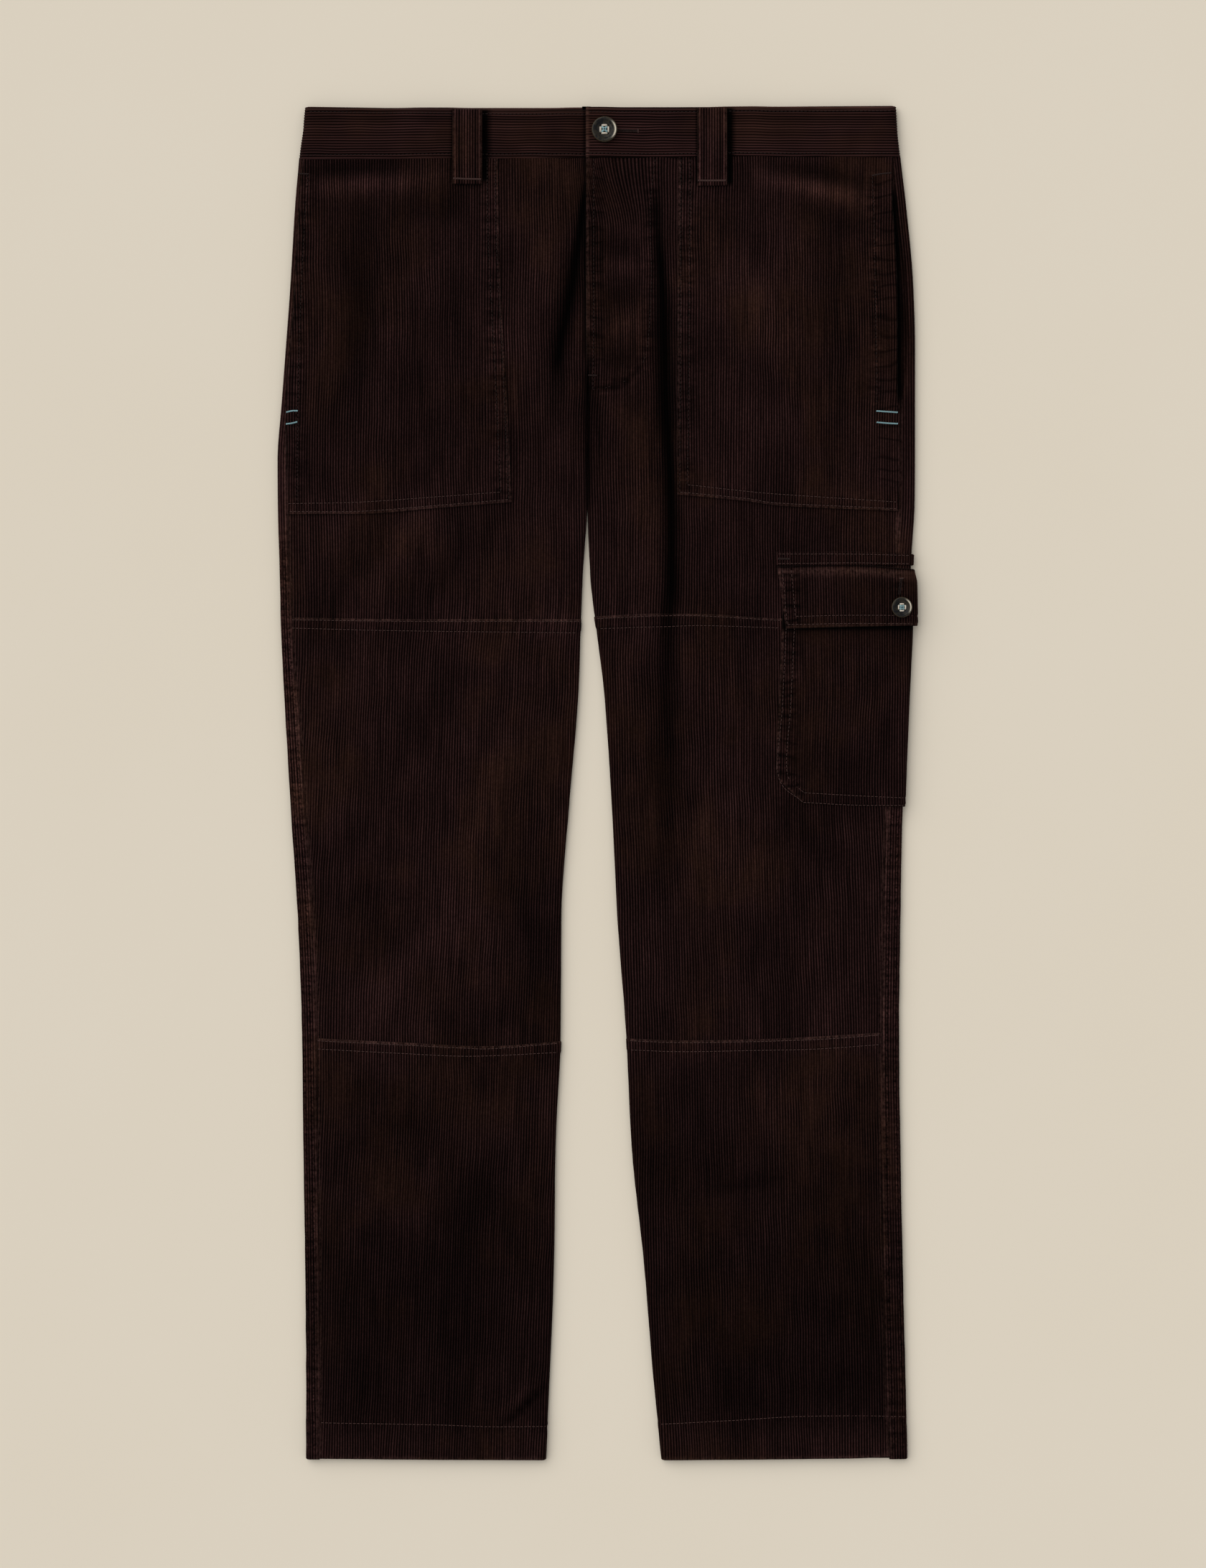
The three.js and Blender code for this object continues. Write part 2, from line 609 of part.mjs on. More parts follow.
// A closed wall through a grid of points: its outer face, its inner face and the rim between them.
function wallGeometry(outer, inner) {
  const rowCount = outer.length;
  const columnCount = outer[0].length;
  const positions = new Float32Array([...outer.flat(2), ...inner.flat(2)]);
  const size = rowCount * columnCount;
  const index = [];
  const quad = (a, b, c, d) => index.push(a, b, c, a, c, d);
  const at = (layer, row, column) => layer * size + row * columnCount + column;
  for (let r = 0; r + 1 < rowCount; r++) {
    for (let c = 0; c + 1 < columnCount; c++) {
      quad(at(0, r, c), at(0, r, c + 1), at(0, r + 1, c + 1), at(0, r + 1, c));
      quad(at(1, r, c), at(1, r + 1, c), at(1, r + 1, c + 1), at(1, r, c + 1));
    }
    const end = columnCount - 1;
    quad(at(0, r, 0), at(0, r + 1, 0), at(1, r + 1, 0), at(1, r, 0));
    quad(at(0, r, end), at(1, r, end), at(1, r + 1, end), at(0, r + 1, end));
  }
  for (let c = 0; c + 1 < columnCount; c++) {
    const end = rowCount - 1;
    quad(at(0, 0, c), at(1, 0, c), at(1, 0, c + 1), at(0, 0, c + 1));
    quad(at(0, end, c), at(0, end, c + 1), at(1, end, c + 1), at(1, end, c));
  }
  const geometry = new THREE.BufferGeometry();
  geometry.setAttribute("position", new THREE.BufferAttribute(positions, 3));
  geometry.setIndex(signedVolume(positions, index) < 0 ? reversed(index) : index);
  return geometry;
}

function signedVolume(positions, index) {
  const corner = (i) => new THREE.Vector3().fromArray(positions, index[i] * 3);
  let sum = 0;
  for (let i = 0; i < index.length; i += 3) {
    sum += corner(i).dot(corner(i + 1).cross(corner(i + 2)));
  }
  return sum / 6;
}

function reversed(index) {
  const turned = [...index];
  for (let i = 0; i < turned.length; i += 3) {
    [turned[i + 1], turned[i + 2]] = [turned[i + 2], turned[i + 1]];
  }
  return turned;
}

// A piece of cloth through stations at levels. It is moved out by away, and has a wall that may vary.
function clothPiece({ name, stations, rows, away = () => 0, wall = () => CLOTH }) {
  const outer = [];
  const inner = [];
  for (const level of rows) {
    const outerRow = [];
    const innerRow = [];
    for (const station of stations) {
      const y = level(station(level(0)).x);
      const p = station(y);
      const thick = wall(y);
      const out = away(p, y);
      outerRow.push([p.x + p.nx * out, y, p.z + p.nz * out]);
      innerRow.push([p.x + p.nx * (out - thick), y, p.z + p.nz * (out - thick)]);
    }
    outer.push(outerRow);
    inner.push(innerRow);
  }
  return named(name, wallGeometry(outer, inner), CORD);
}

function named(name, geometry, finish) {
  geometry.computeVertexNormals();
  const mesh = new THREE.Mesh(geometry, new THREE.MeshStandardMaterial(finish));
  mesh.name = name;
  return mesh;
}

const hemWall = (y) => mix(HEM_CLOTH, CLOTH, clamp((y - HEM_STITCH) / 4));
const above = (rows) => (x) => across(rows, x) + SEAM / 2;
const below = (rows) => (x) => across(rows, x) - SEAM / 2;
const along = (rows) => (x) => across(rows, x);

// Fronts: an upper piece from waistband to thigh seam, a middle piece to the knee seam and a lower one
function fronts(side) {
  const hem = along(ACROSS[side + "Hem"]);
  const knee = ACROSS[side + "Knee"];
  const thigh = ACROSS[side + "Thigh"];
  const { belowPocket, pocket, leg, shin } = LEVELS[side];
  return [
    clothPiece({
      name: `front_${side}_hip`,
      stations: hipStations(side, HIP_STEPS[side]),
      rows: [
        above(thigh),
        ...belowPocket.map((y) => () => y),
        ...levels(along(POCKET_HEM[side]), pocket, below(BAND_SEAM)),
      ],
    }),
    clothPiece({
      name: `front_${side}_thigh`,
      stations: legStations(side, PLACES[side].thigh),
      rows: levels(above(knee), leg, below(thigh)),
    }),
    clothPiece({
      name: `front_${side}_shin`,
      stations: legStations(side, PLACES[side].shin),
      rows: levels(hem, shin, below(knee)),
      wall: hemWall,
    }),
  ];
}

// Backs: one piece a side, flat on the surface and turned up round the outer edge
function back(side) {
  return clothPiece({
    name: `back_${side}`,
    stations: backStations(side),
    rows: levels(along(ACROSS[side + "Hem"]), LEVELS[side].back, below(BAND_SEAM)),
    wall: hemWall,
  });
}

// Patch pockets lie on the upper fronts, over the same points. The left one's mouth gapes a little.
function patchPocket(side) {
  const gape = (x, y) => {
    if (side === "right") return 0;
    const reach = smooth(1 - (seamEdge(side, y) - x) / MOUTH.reach);
    const tall = smooth((y - MOUTH.bottom) / MOUTH.fade) * smooth((MOUTH.top - y) / MOUTH.fade);
    return MOUTH.gape * reach * tall;
  };
  return clothPiece({
    name: `patch_pocket_${side}`,
    stations: pocketStations(side),
    rows: levels(along(POCKET_HEM[side]), LEVELS[side].pocket, below(BAND_SEAM)),
    away: (p, y) => LAYER + gape(p.x, y),
  });
}

// Stations of a layer on the left leg, from its edge that shows round the side to its hidden edge.
function wrapStations(edgeRows) {
  const shown = (y) => straight(edgeRows, "y", "x", y);
  const hidden = (y) => straight(edgeRows, "y", "hidden", y);
  return [
    onTop("left", shown),
    onTop("left", (y) => shown(y) + 3),
    ...PLACES.left.wrap.map((x) => onTop("left", () => x)),
    onTop("left", (y) => rollEnd("left", y)),
    ...SIDE_ANGLES.map((angle) => onSide("left", angle)),
    ...[0, 0.5, 1].map((f) => underneath((y) => mix(rollEnd("left", y), hidden(y), f))),
  ];
}

function cargoPocket() {
  return clothPiece({
    name: "cargo_pocket",
    stations: wrapStations(BAG_EDGE),
    rows: levels(
      (x) => BAG.bottom + mix(2.2, -1.2, clamp((x - 158) / 82)),
      [-13.3, -4, BAG.cut, ...LEVELS.left.leg.filter((y) => y > BAG.cut + 10), 138],
      () => BAG.top,
    ),
    away: () => LAYER,
  });
}

// Over the pocket the flap is two layers out, and one at its seam. Its roll stands off the leg's edge.
function flapAway(p, y) {
  const low = 1 - clamp((y - FLAP.bottom) / (FLAP.top - FLAP.bottom));
  return LAYER * (1 + flapRaised(y)) + FLAP.stand * Math.sqrt(low) * clamp(p.nx) ** 4;
}

function cargoFlap() {
  return clothPiece({
    name: "cargo_flap",
    stations: wrapStations(FLAP_EDGE),
    rows: levels(
      (x) => FLAP.bottom + mix(-1.2, 1, clamp((x - 148) / 100)),
      [132, 144, FLAP_HINGE, 163],
      (x) => FLAP.top - 1 + smooth((x - 142) / 30) - 3 * smooth((x - 200) / 50),
    ),
    away: flapAway,
  });
}

function flapStrip() {
  const { bottom, top, x, hidden } = FLAP_STRIP;
  const edge = [bottom, top].map((y) => ({ y, x, hidden }));
  return clothPiece({
    name: "cargo_flap_strip",
    stations: wrapStations(edge),
    rows: levels(() => bottom, [], (at) => top - 1.8 * smooth((at - 200) / 50)),
    away: () => LAYER,
  });
}

// The waistband's top: the right half sinks under the left half's lap at the centre front.
function bandHeight(side, x, y) {
  const s = SIDES[side];
  const edge = curved(BAND_EDGE, "y", side + "Outer", y);
  const inboard = smooth((s * (edge - x) - BAND.edge / 2) / BAND.shoulder);
  const plain = mix(BAND.edge, BAND.top, inboard);
  if (side === "right") return mix(plain, BAND.sunk, smooth((x + 30) / 19));
  return mix(BAND.lap, plain, smooth((x - BAND_UNDERLAP - 2) / 20));
}

function waistband(side) {
  const s = SIDES[side];
  const radius = BAND.edge / 2;
  const roll = (y) => curved(BAND_EDGE, "y", side + "Outer", y) - s * radius;
  const seamX = CENTRE + (s * SEAM) / 2;
  const endX = side === "right" ? BAND_UNDERLAP : LAP_EDGE;
  const over = (xAt) => (y) => {
    const x = xAt(y);
    return { x, z: bandHeight(side, x, y) + lift(x, y), nx: 0, nz: 1 };
  };
  const round = (degrees) => (y) => {
    const nx = s * Math.sin(radians(degrees));
    const nz = Math.cos(radians(degrees));
    const x = roll(y);
    return { x: x + radius * nx, z: radius + lift(x, y) + radius * nz, nx, nz };
  };
  return clothPiece({
    name: `waistband_${side}`,
    stations: [
      ...[seamX, ...PLACES[side].bandUnder].map((x) => underneath(() => x)),
      ...[180, ...[...SIDE_ANGLES].reverse()].map(round),
      over(roll),
      ...[...PLACES[side].bandOver, endX].map((x) => over(() => x)),
    ],
    rows: levels(above(BAND_SEAM), [507], along(BAND_TOP[side])),
    wall: () => BAND_CLOTH,
  });
}

// Front loops lie on the patch pockets at the bottom and on the waistband above.
function frontLoop({ name, x, bottom, top }) {
  const side = x < 0 ? "right" : "left";
  const base = (px, y) => {
    const pocket = topHeight(side, px, Math.min(y, WAIST_SEAM)) + LAYER + CLEAR;
    const climb = smooth((y - LOOP_STEP.from) / LOOP_STEP.length);
    return mix(pocket, bandHeight(side, px, y), climb) + lift(px, y);
  };
  const station = (f) => (y) => {
    const px = x + (f - 0.5) * LOOP_WIDTH;
    const bow = LOOP_BOW * Math.sin(Math.PI * clamp((y - bottom) / (top - bottom)));
    return { x: px, z: base(px, y) + LAYER + bow, nx: 0, nz: 1 };
  };
  return clothPiece({
    name,
    stations: [0, 0.5, 1].map(station),
    rows: levels(() => bottom, LOOP_ROWS, () => top),
  });
}

// Back loops lie flat on the surface, under the waistband and the backs.
function backLoop({ name, x, bottom, top }) {
  const station = (f) => () => ({ x: x + (f - 0.5) * LOOP_WIDTH, z: 0, nx: 0, nz: -1 });
  return clothPiece({
    name,
    stations: [0, 1].map(station),
    rows: levels(() => bottom, [], () => top),
  });
}

function solid(geometry) {
  const plain = geometry.clone();
  plain.deleteAttribute("normal");
  plain.deleteAttribute("uv");
  const merged = mergeVertices(plain, 1e-4);
  return new wasm.Manifold(
    new wasm.Mesh({
      numProp: 3,
      vertProperties: merged.attributes.position.array,
      triVerts: new Uint32Array(merged.index.array),
    }),
  );
}

function fromSolid(body) {
  const mesh = body.getMesh();
  const geometry = new THREE.BufferGeometry();
  geometry.setAttribute("position", new THREE.BufferAttribute(mesh.vertProperties, 3));
  geometry.setIndex(new THREE.BufferAttribute(mesh.triVerts, 1));
  return geometry;
}

// A button turned from horn: a rounded rim round a dished middle, with four holes through it.
function button(name, { x, y, radius, height: tall }, z) {
  const profile = BUTTON_PROFILE.map(({ r, h }) => new THREE.Vector2(r * radius, h * tall));
  let body = solid(new THREE.LatheGeometry(profile, 22).rotateX(Math.PI / 2));
  const offset = BUTTON_HOLE.offset * radius;
  for (const [sx, sy] of [[1, 1], [-1, 1], [-1, -1], [1, -1]]) {
    const drill = new THREE.CylinderGeometry(BUTTON_HOLE.radius, BUTTON_HOLE.radius, 3 * tall, 6);
    drill.rotateX(Math.PI / 2).translate(sx * offset, sy * offset, tall / 2);
    body = body.subtract(solid(drill));
  }
  const mesh = named(name, fromSolid(body), HORN);
  mesh.position.set(x, y, z);
  return mesh;
}

// The highest point of a surface under a round footprint.
function seat({ x, y, radius }, surface) {
  const heights = [surface(x, y)];
  for (let i = 0; i < 16; i++) {
    const angle = (i * Math.PI) / 8;
    heights.push(surface(x + radius * Math.cos(angle), y + radius * Math.sin(angle)));
  }
  return Math.max(...heights) + SEAM;
}

const bandSurface = (x, y) => bandHeight("left", x, y) + lift(x, y);

function flapSurface(x, y) {
  const roll = outline("left", "Outer", y) - height("outer", y) / 2;
  const flat = topHeight("left", Math.min(x, roll), y) + lift(x, y) + 2 * LAYER;
  const radius = height("outer", y) / 2 + 2 * LAYER;
  const past = Math.min(Math.max(0, x - roll), radius);
  return flat - radius + Math.sqrt(radius ** 2 - past ** 2);
}

const trousers = new THREE.Group();
for (const side of ["right", "left"]) {
  trousers.add(waistband(side), ...fronts(side), back(side), patchPocket(side));
}
trousers.add(cargoPocket(), cargoFlap(), flapStrip());
trousers.add(...FRONT_LOOPS.map(frontLoop), ...BACK_LOOPS.map(backLoop));
trousers.add(button("button_waist", WAIST_BUTTON, seat(WAIST_BUTTON, bandSurface)));
trousers.add(button("button_cargo", CARGO_BUTTON, seat(CARGO_BUTTON, flapSurface)));

export default trousers;
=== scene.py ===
"""Corduroy trousers laid flat: every piece that is cut and sewn, its stitching and its buttons.

Shapes are worked out in millimetres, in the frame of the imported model, and put into the meshes in metres.
X runs towards the wearer's left side, Y from the hems to the waist, Z up. Right and left are the wearer's.
"""

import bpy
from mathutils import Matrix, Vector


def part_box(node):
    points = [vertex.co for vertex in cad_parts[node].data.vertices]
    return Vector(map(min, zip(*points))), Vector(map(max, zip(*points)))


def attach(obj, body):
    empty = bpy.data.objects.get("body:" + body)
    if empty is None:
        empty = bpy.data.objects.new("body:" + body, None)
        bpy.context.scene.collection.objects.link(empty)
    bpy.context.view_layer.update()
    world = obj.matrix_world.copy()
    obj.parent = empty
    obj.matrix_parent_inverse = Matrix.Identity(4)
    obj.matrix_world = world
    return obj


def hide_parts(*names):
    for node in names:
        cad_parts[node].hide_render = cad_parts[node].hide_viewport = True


bl_info = {
    "name": "Corduroy Trousers",
    "version": (1, 0, 0),
    "blender": (4, 5, 0),
    "location": "View3D > Sidebar > Trousers",
    "description": "Corduroy trousers laid flat, with their stitching and buttons",
    "category": "Add Mesh",
}

import functools

import bmesh
import bpy
import numpy as np
from bpy.props import FloatProperty, FloatVectorProperty, PointerProperty
from bpy.types import Operator, Panel, PropertyGroup

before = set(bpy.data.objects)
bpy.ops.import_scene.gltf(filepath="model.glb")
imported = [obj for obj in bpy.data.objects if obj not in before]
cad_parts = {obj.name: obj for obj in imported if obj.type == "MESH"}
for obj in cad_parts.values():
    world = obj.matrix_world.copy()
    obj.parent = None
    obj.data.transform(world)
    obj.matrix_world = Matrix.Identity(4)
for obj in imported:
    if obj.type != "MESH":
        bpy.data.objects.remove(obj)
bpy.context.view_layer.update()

MM = 0.001

# ---------------------------------------------------------------- sizes of the garment, in mm
LAYER = 2.1  # how far out a piece on a panel lies
FLOOR = 2.8  # lowest top of a front over a back
CENTRE = -8.0
LAP_EDGE = -8.4
UNDERLAP = 12.0
BAND_UNDERLAP = 21.0
FLY_END = 335.0
WAIST_SEAM = 488.0
FLY_WIDTH = 26.0
BEND_LENGTH = 7.0
SIDES = {"right": -1, "left": 1}

# y, right outer, right inner, left inner, left outer
OUTLINE = np.array([
    [-527.4, -227.6, -40.5, 50.0, 241.8],
    [-464, -227.8, -37.5, 43.4, 240.5],
    [-375, -228.6, -34.0, 36.1, 238.3],
    [-285, -229.9, -32.8, 26.6, 236.6],
    [-195, -231.0, -28.8, 22.1, 235.5],
    [-106, -234.2, -28.3, 15.4, 236.6],
    [-16, -240.0, -22.1, 10.9, 238.3],
    [73, -245.0, -14.8, 4.8, 241.8],
    [118, -247.2, -13.2, -0.8, 243.8],
    [163, -248.4, -11.5, -5.9, 244.2],
    [219.5, -249.8, -8.15, -7.85, 247.6],
    [252, -250.0, -8.15, -7.85, 247.8],
    [297, -246.7, -8.15, -7.85, 247.8],
    [342, -243.3, -8.15, -7.85, 247.8],
    [387, -240.0, -8.15, -7.85, 246.5],
    [454, -236.0, -8.15, -7.85, 240.5],
    [488, -233.2, -8.15, -7.85, 236.6],
])
OUTER = {"right": 1, "left": 4}
INNER = {"right": 2, "left": 3}

# y, outer roll, right inner roll, left inner roll, middle
HEIGHT = np.array([
    [-527.4, 7.0, 7.0, 7.0, 7.2],
    [-500, 7.0, 7.0, 7.0, 7.2],
    [-480, 5.8, 5.8, 5.8, 6.7],
    [-200, 5.6, 5.6, 5.6, 6.9],
    [0, 5.8, 5.8, 5.6, 7.1],
    [150, 6.0, 6.4, 4.9, 7.3],
    [230, 6.0, 7.2, 4.5, 7.5],
    [290, 6.2, 7.4, 4.8, 7.7],
    [335, 6.4, 7.8, 7.6, 7.8],
    [440, 6.4, 7.6, 7.6, 7.6],
    [488, 5.4, 7.4, 7.4, 7.4],
])
INNER_HEIGHT = {"right": 2, "left": 3}

# y, front's roll at the inner edge, back's roll, in degrees
ROLL = np.array([
    [-528, 110, 47], [205, 110, 47], [222, 80, 0], [300, 80, 0], [347, 0, 0], [488, 0, 0],
])

# y, right, left
SIDE_SEAM = np.array([
    [-528, -217.0, 228.0],
    [-453, -217.1, 224.3],
    [-257, -218.6, 221.5],
    [-176, -219.2, 221.8],
    [-85, -223.5, 223.0],
    [37, -232.1, 228.5],
    [127, -238.9, 232.0],
    [208, -241.6, 234.2],
    [252, -242.2, 234.8],
    [297, -242.3, 235.6],
    [342, -239.0, 235.4],
    [387, -235.7, 235.0],
    [454, -231.7, 231.4],
    [488, -229.0, 229.6],
])
SEAM_COLUMN = {"right": 1, "left": 2}

# x, y of the seams and edges across the legs
ACROSS = {
    "right_thigh": np.array([[-240, 128.8], [-155, 127.6], [-13, 127.6]]),
    "left_thigh": np.array([[-1, 129.8], [53, 131.9], [85, 131.5], [143, 128.2], [240, 127]]),
    "right_knee": np.array([[-219, -199.5], [-156, -202.5], [-94, -205.4], [-29, -201.3]]),
    "left_knee": np.array([[26, -199.5], [66, -200.9], [122, -200.1], [222, -195]]),
    "right_hem": np.array([[-228, -523.4], [-213, -526.2], [-41, -527.4]]),
    "left_hem": np.array([[50, -527.4], [190, -526], [242, -523.6]]),
    "right_pocket": np.array([[-250, 210.2], [-186, 210.3], [-131, 214.4], [-66, 219.6]]),
    "left_pocket": np.array([[61, 225.4], [116, 220.2], [143, 216.6], [250, 212]]),
    "band": np.array([[-235, 487.0], [238, 489.0]]),
    "right_band_top": np.array([[-230, 526.8], [-120, 525.0], [22, 524.0]]),
    "left_band_top": np.array([[-9, 525.9], [120, 526.6], [234, 527.4]]),
}

# y, x, half width, rise: long creases, deeper than in the solids because real cloth is thin
CREASES = {
    "right": [
        [[470, -9.2, 2.4, 0], [458, -10.5, 3.2, -2.6], [430, -13.5, 4.8, -4.8], [404, -17.5, 5.8, -5.4],
         [370, -23.5, 6.4, -5.4], [339, -29.5, 6.2, -4.2], [315, -32, 6, -1.6], [270, -33, 7, 0]],
        [[470, -28, 12, 0], [420, -36, 12, 1.6], [350, -48, 13, 1.6], [280, -52, 16, 0]],
        [[440, -9, 3, 0], [400, -11, 4, 1.6], [350, -17, 6, 2.2], [300, -18, 7, 2.0], [230, -18, 8, 0]],
        [[332, -8.2, 1.6, 0], [318, -8.4, 2.0, -2.0], [262, -8.4, 2.0, -2.2], [230, -8.2, 1.8, -1.4], [214, -8.2, 1.6, 0]],
    ],
    "left": [
        [[466, 44, 3, 0], [449, 46, 4, -1.8], [415, 48.5, 4.4, -3.2], [382, 51, 5.0, -4.4], [329, 52.3, 6.2, -5.2],
         [289, 53.8, 6.8, -5.4], [249, 56.5, 5.8, -5.2], [219, 57.5, 5.6, -4.6], [163, 58, 6.2, -3.8],
         [118, 55, 7, -2.4], [-5, 54.6, 10, -1.3], [-110, 54, 12, 0]],
        [[440, 76, 12, 0], [300, 80, 14, 1.2], [180, 84, 15, 1.5], [60, 78, 16, 0.9], [-60, 74, 18, 0]],
        [[430, 36, 5, 0], [330, 38, 7, 1.4], [220, 40, 9, 1.9], [120, 34, 11, 1.3], [0, 34, 14, 0]],
        [[352, -8.2, 2.0, 0], [336, -8.4, 2.6, -2.2], [300, -8.2, 3.0, -3.2], [262, -8.0, 2.8, -3.0],
         [230, -8.0, 2.4, -2.0], [214, -8.0, 2, 0]],
    ],
}

# x, y of one end, x, y of the other, half width, rise
FOLDS = {
    "right": [
        [-186, 460, -186, 275, 14, -2.1],
        [-110, 425, -105, 280, 12, -0.8],
        [-118, 470, -232, 463, 7, 1.7],
        [-142, 482, -238, 478, 6, -2.3],
        [-165, 446, -98, 446, 11, -1.2],
        [-150, 222, -215, 128, 12, -1.0],
        [-68, 222, -152, 128, 14, -1.1],
        [-116, 238, -185, 146, 14, 0.9],
        [-96, 100, -192, -20, 18, -1.0],
        [-72, 70, -110, -125, 22, 1.0],
        [-104, -110, -206, -190, 18, 0.9],
        [-49, -50, -47, -195, 14, -0.9],
        [-100, -275, -106, -460, 30, -0.8],
        [-72, -500, -38, -468, 2.2, -2.8],
        [-77, -494, -45, -462, 3.5, 1.2],
    ],
    "left": [
        [118, 473, 216, 453, 7, 2.2],
        [130, 484, 214, 468, 6, -2.0],
        [150, 452, 208, 430, 9, -1.0],
        [2, 440, 38, 428, 4, 0.7],
        [0, 419, 36, 414, 6, -1.2],
        [4, 403, 36, 400, 5, 1.1],
        [0, 380, 38, 380, 8, -1.5],
        [2, 352, 36, 358, 8, 1.3],
        [4, 328, 34, 334, 6, -1.4],
        [-4, 330, 5, 232, 3.6, -1.3],
        [-6, 305.2, 22, 310.6, 1.8, -1.4],
        [18, 309.4, 39, 330, 1.8, -1.4],
        [-6, 301.8, 24, 307.2, 2.2, 1.0],
        [20, 305.6, 44, 328, 2.2, 1.0],
        [110, 420, 150, 330, 22, 0.9],
        [184, 450, 187, 280, 14, -1.0],
        [196, 309, 232, 308, 5, -0.9],
        [146, -14, 180, -66, 12, -1.0],
        [104, 66, 112, -110, 24, 0.9],
        [82, -320, 146, -305, 6, -1.5],
        [30, -288, 141, -314, 16, -0.8],
    ],
}

# y, right, left: the patch pockets' inner edges
POCKET_EDGE = np.array([
    [208, -66.8, 62.0], [297, -71.0, 62.4], [375, -75.5, 62.8], [427, -77.4, 63.2], [488, -78.4, 63.6],
])
MOUTH = {"top": 470.0, "bottom": 296.0, "gape": 1.6, "reach": 22.0, "fade": 40.0}

UNDER_X = 181.0
FLAP_HINGE = 157.0
FLAP_SEAM = 168.6
BAG_TOP = 156.0
BAG_BOTTOM = -16.5
FLAP_TOP = 169.6
FLAP_BOTTOM = 122.4
STRIP_TOP = 179.8
STRIP_BOTTOM = 170.4
SPREAD = 14.0
LOOP_WIDTH = 21.6
BACK_LOOPS = {"right": -128.0, "centre": CENTRE, "left": 112.0}
LOOP_BOTTOM = 467.0
LOOP_TOP = {"right": 524.0, "centre": 523.0, "left": 525.0}
FRONT_LOOPS = {"right": (-101.4, 467.4, 524.4), "left": (89.2, 466.0, 525.6)}
BAND_EDGE = np.array([[486, -233.2, 236.6], [528, -228.5, 233.0]])
BAND = {"edge": 7.6, "top": 8.0, "lap": 9.0, "sunk": 6.0, "shoulder": 40.0}
WAIST_BUTTON = (5.3, 508.8, 10.0, 3.2)
CARGO_BUTTON = (236.5, 136.8, 8.0, 2.8)


# ---------------------------------------------------------------- curves
def smooth(t):
    """Goes from 0 to 1 with level ends: 3 t squared less 2 t cubed."""
    t = np.clip(t, 0, 1)
    return t * t * (3 - 2 * t)


def mix(a, b, t):
    """A straight blend from a to b."""
    return a + (b - a) * t


def curve(table, column, at):
    """A column of a table on a cubic through its rows, whose slope at a row is the harmonic mean of the
    slopes beside it, or 0 where they differ in sign, so that it never overshoots."""
    table = np.asarray(table, float)
    if table[0, 0] > table[-1, 0]:
        table = table[::-1]
    keys, values = table[:, 0], table[:, column]
    slopes = np.diff(values) / np.diff(keys)
    tangents = np.concatenate([slopes[:1], np.zeros(len(slopes) - 1), slopes[-1:]])
    if len(slopes) > 1:
        before, after = slopes[:-1], slopes[1:]
        same = before * after > 0
        total = np.where(same, before + after, 1)
        tangents[1:-1] = np.where(same, 2 * before * after / total, 0)
    at = np.clip(at, keys[0], keys[-1])
    i = np.clip(np.searchsorted(keys, at) - 1, 0, len(keys) - 2)
    span = keys[i + 1] - keys[i]
    t = (at - keys[i]) / span
    return (
        (1 + 2 * t) * (1 - t) ** 2 * values[i]
        + t * (1 - t) ** 2 * span * tangents[i]
        + t * t * (3 - 2 * t) * values[i + 1]
        + t * t * (t - 1) * span * tangents[i + 1]
    )


def across(name):
    """The seam of that name, as a function that gives y for x."""
    return lambda x: curve(ACROSS[name], 1, x)


def patchy(x, y, size, seed):
    """Soft unevenness between -1 and 1: random heights on a square lattice, blended with level ends."""
    lattice = np.random.RandomState(seed).uniform(-1, 1, (64, 64))
    px, py = np.asarray(x) / size + 1000, np.asarray(y) / size + 1000
    ix, iy = np.floor(px).astype(int), np.floor(py).astype(int)
    fx, fy = smooth(px - ix), smooth(py - iy)
    corner = lambda dx, dy: lattice[(iy + dy) % 64, (ix + dx) % 64]
    low = mix(corner(0, 0), corner(1, 0), fx)
    return mix(low, mix(corner(0, 1), corner(1, 1), fx), fy)


# ---------------------------------------------------------------- the lie of the cloth
def outline(side, y):
    return curve(OUTLINE, OUTER[side], y)


def inner_outline(side, y):
    return curve(OUTLINE, INNER[side], y)


def side_seam(side, y):
    return curve(SIDE_SEAM, SEAM_COLUMN[side], y)


def pocket_edge(side, y):
    return curve(POCKET_EDGE, SEAM_COLUMN[side], y)


def roll_radius(y):
    """Radius of the rolled outer edge."""
    return curve(HEIGHT, 1, y) / 2


def roll_end(side, y):
    """Where the flat top meets the rolled outer edge."""
    return outline(side, y) - SIDES[side] * roll_radius(y)


def lapped(y):
    """1 where the left front laps over the right, 0 below the fly."""
    return smooth((y - FLY_END + 16) / 20)


def over(x, y, x0, x1, y0, y1):
    """1 inside a rectangle, falling evenly to 0 over SPREAD outside it."""
    away = np.maximum.reduce([x0 - x, x - x1, y0 - y, y - y1, np.zeros(np.broadcast(x, y).shape)])
    return np.clip(1 - away / SPREAD, 0, 1)


def flap_raised(y):
    """1 where the flap lies on the pocket, falling to 0 at its seam to the leg."""
    return np.clip((FLAP_SEAM - y) / (FLAP_SEAM - FLAP_HINGE), 0, 1)


def lift(x, y):
    """How far the leg is raised by the pocket, flap and loops folded under it."""
    bag = over(x, y, UNDER_X, 1e4, BAG_BOTTOM - 2, STRIP_TOP + 1)
    flap = np.minimum(over(x, y, UNDER_X, 1e4, FLAP_BOTTOM - 3, 1e4), flap_raised(y))
    raised = bag + flap
    for middle in BACK_LOOPS.values():
        near = LOOP_WIDTH / 2 + 1
        raised = np.maximum(raised, over(x, y, middle - near, middle + near, 465, 1e4))
    return LAYER * raised


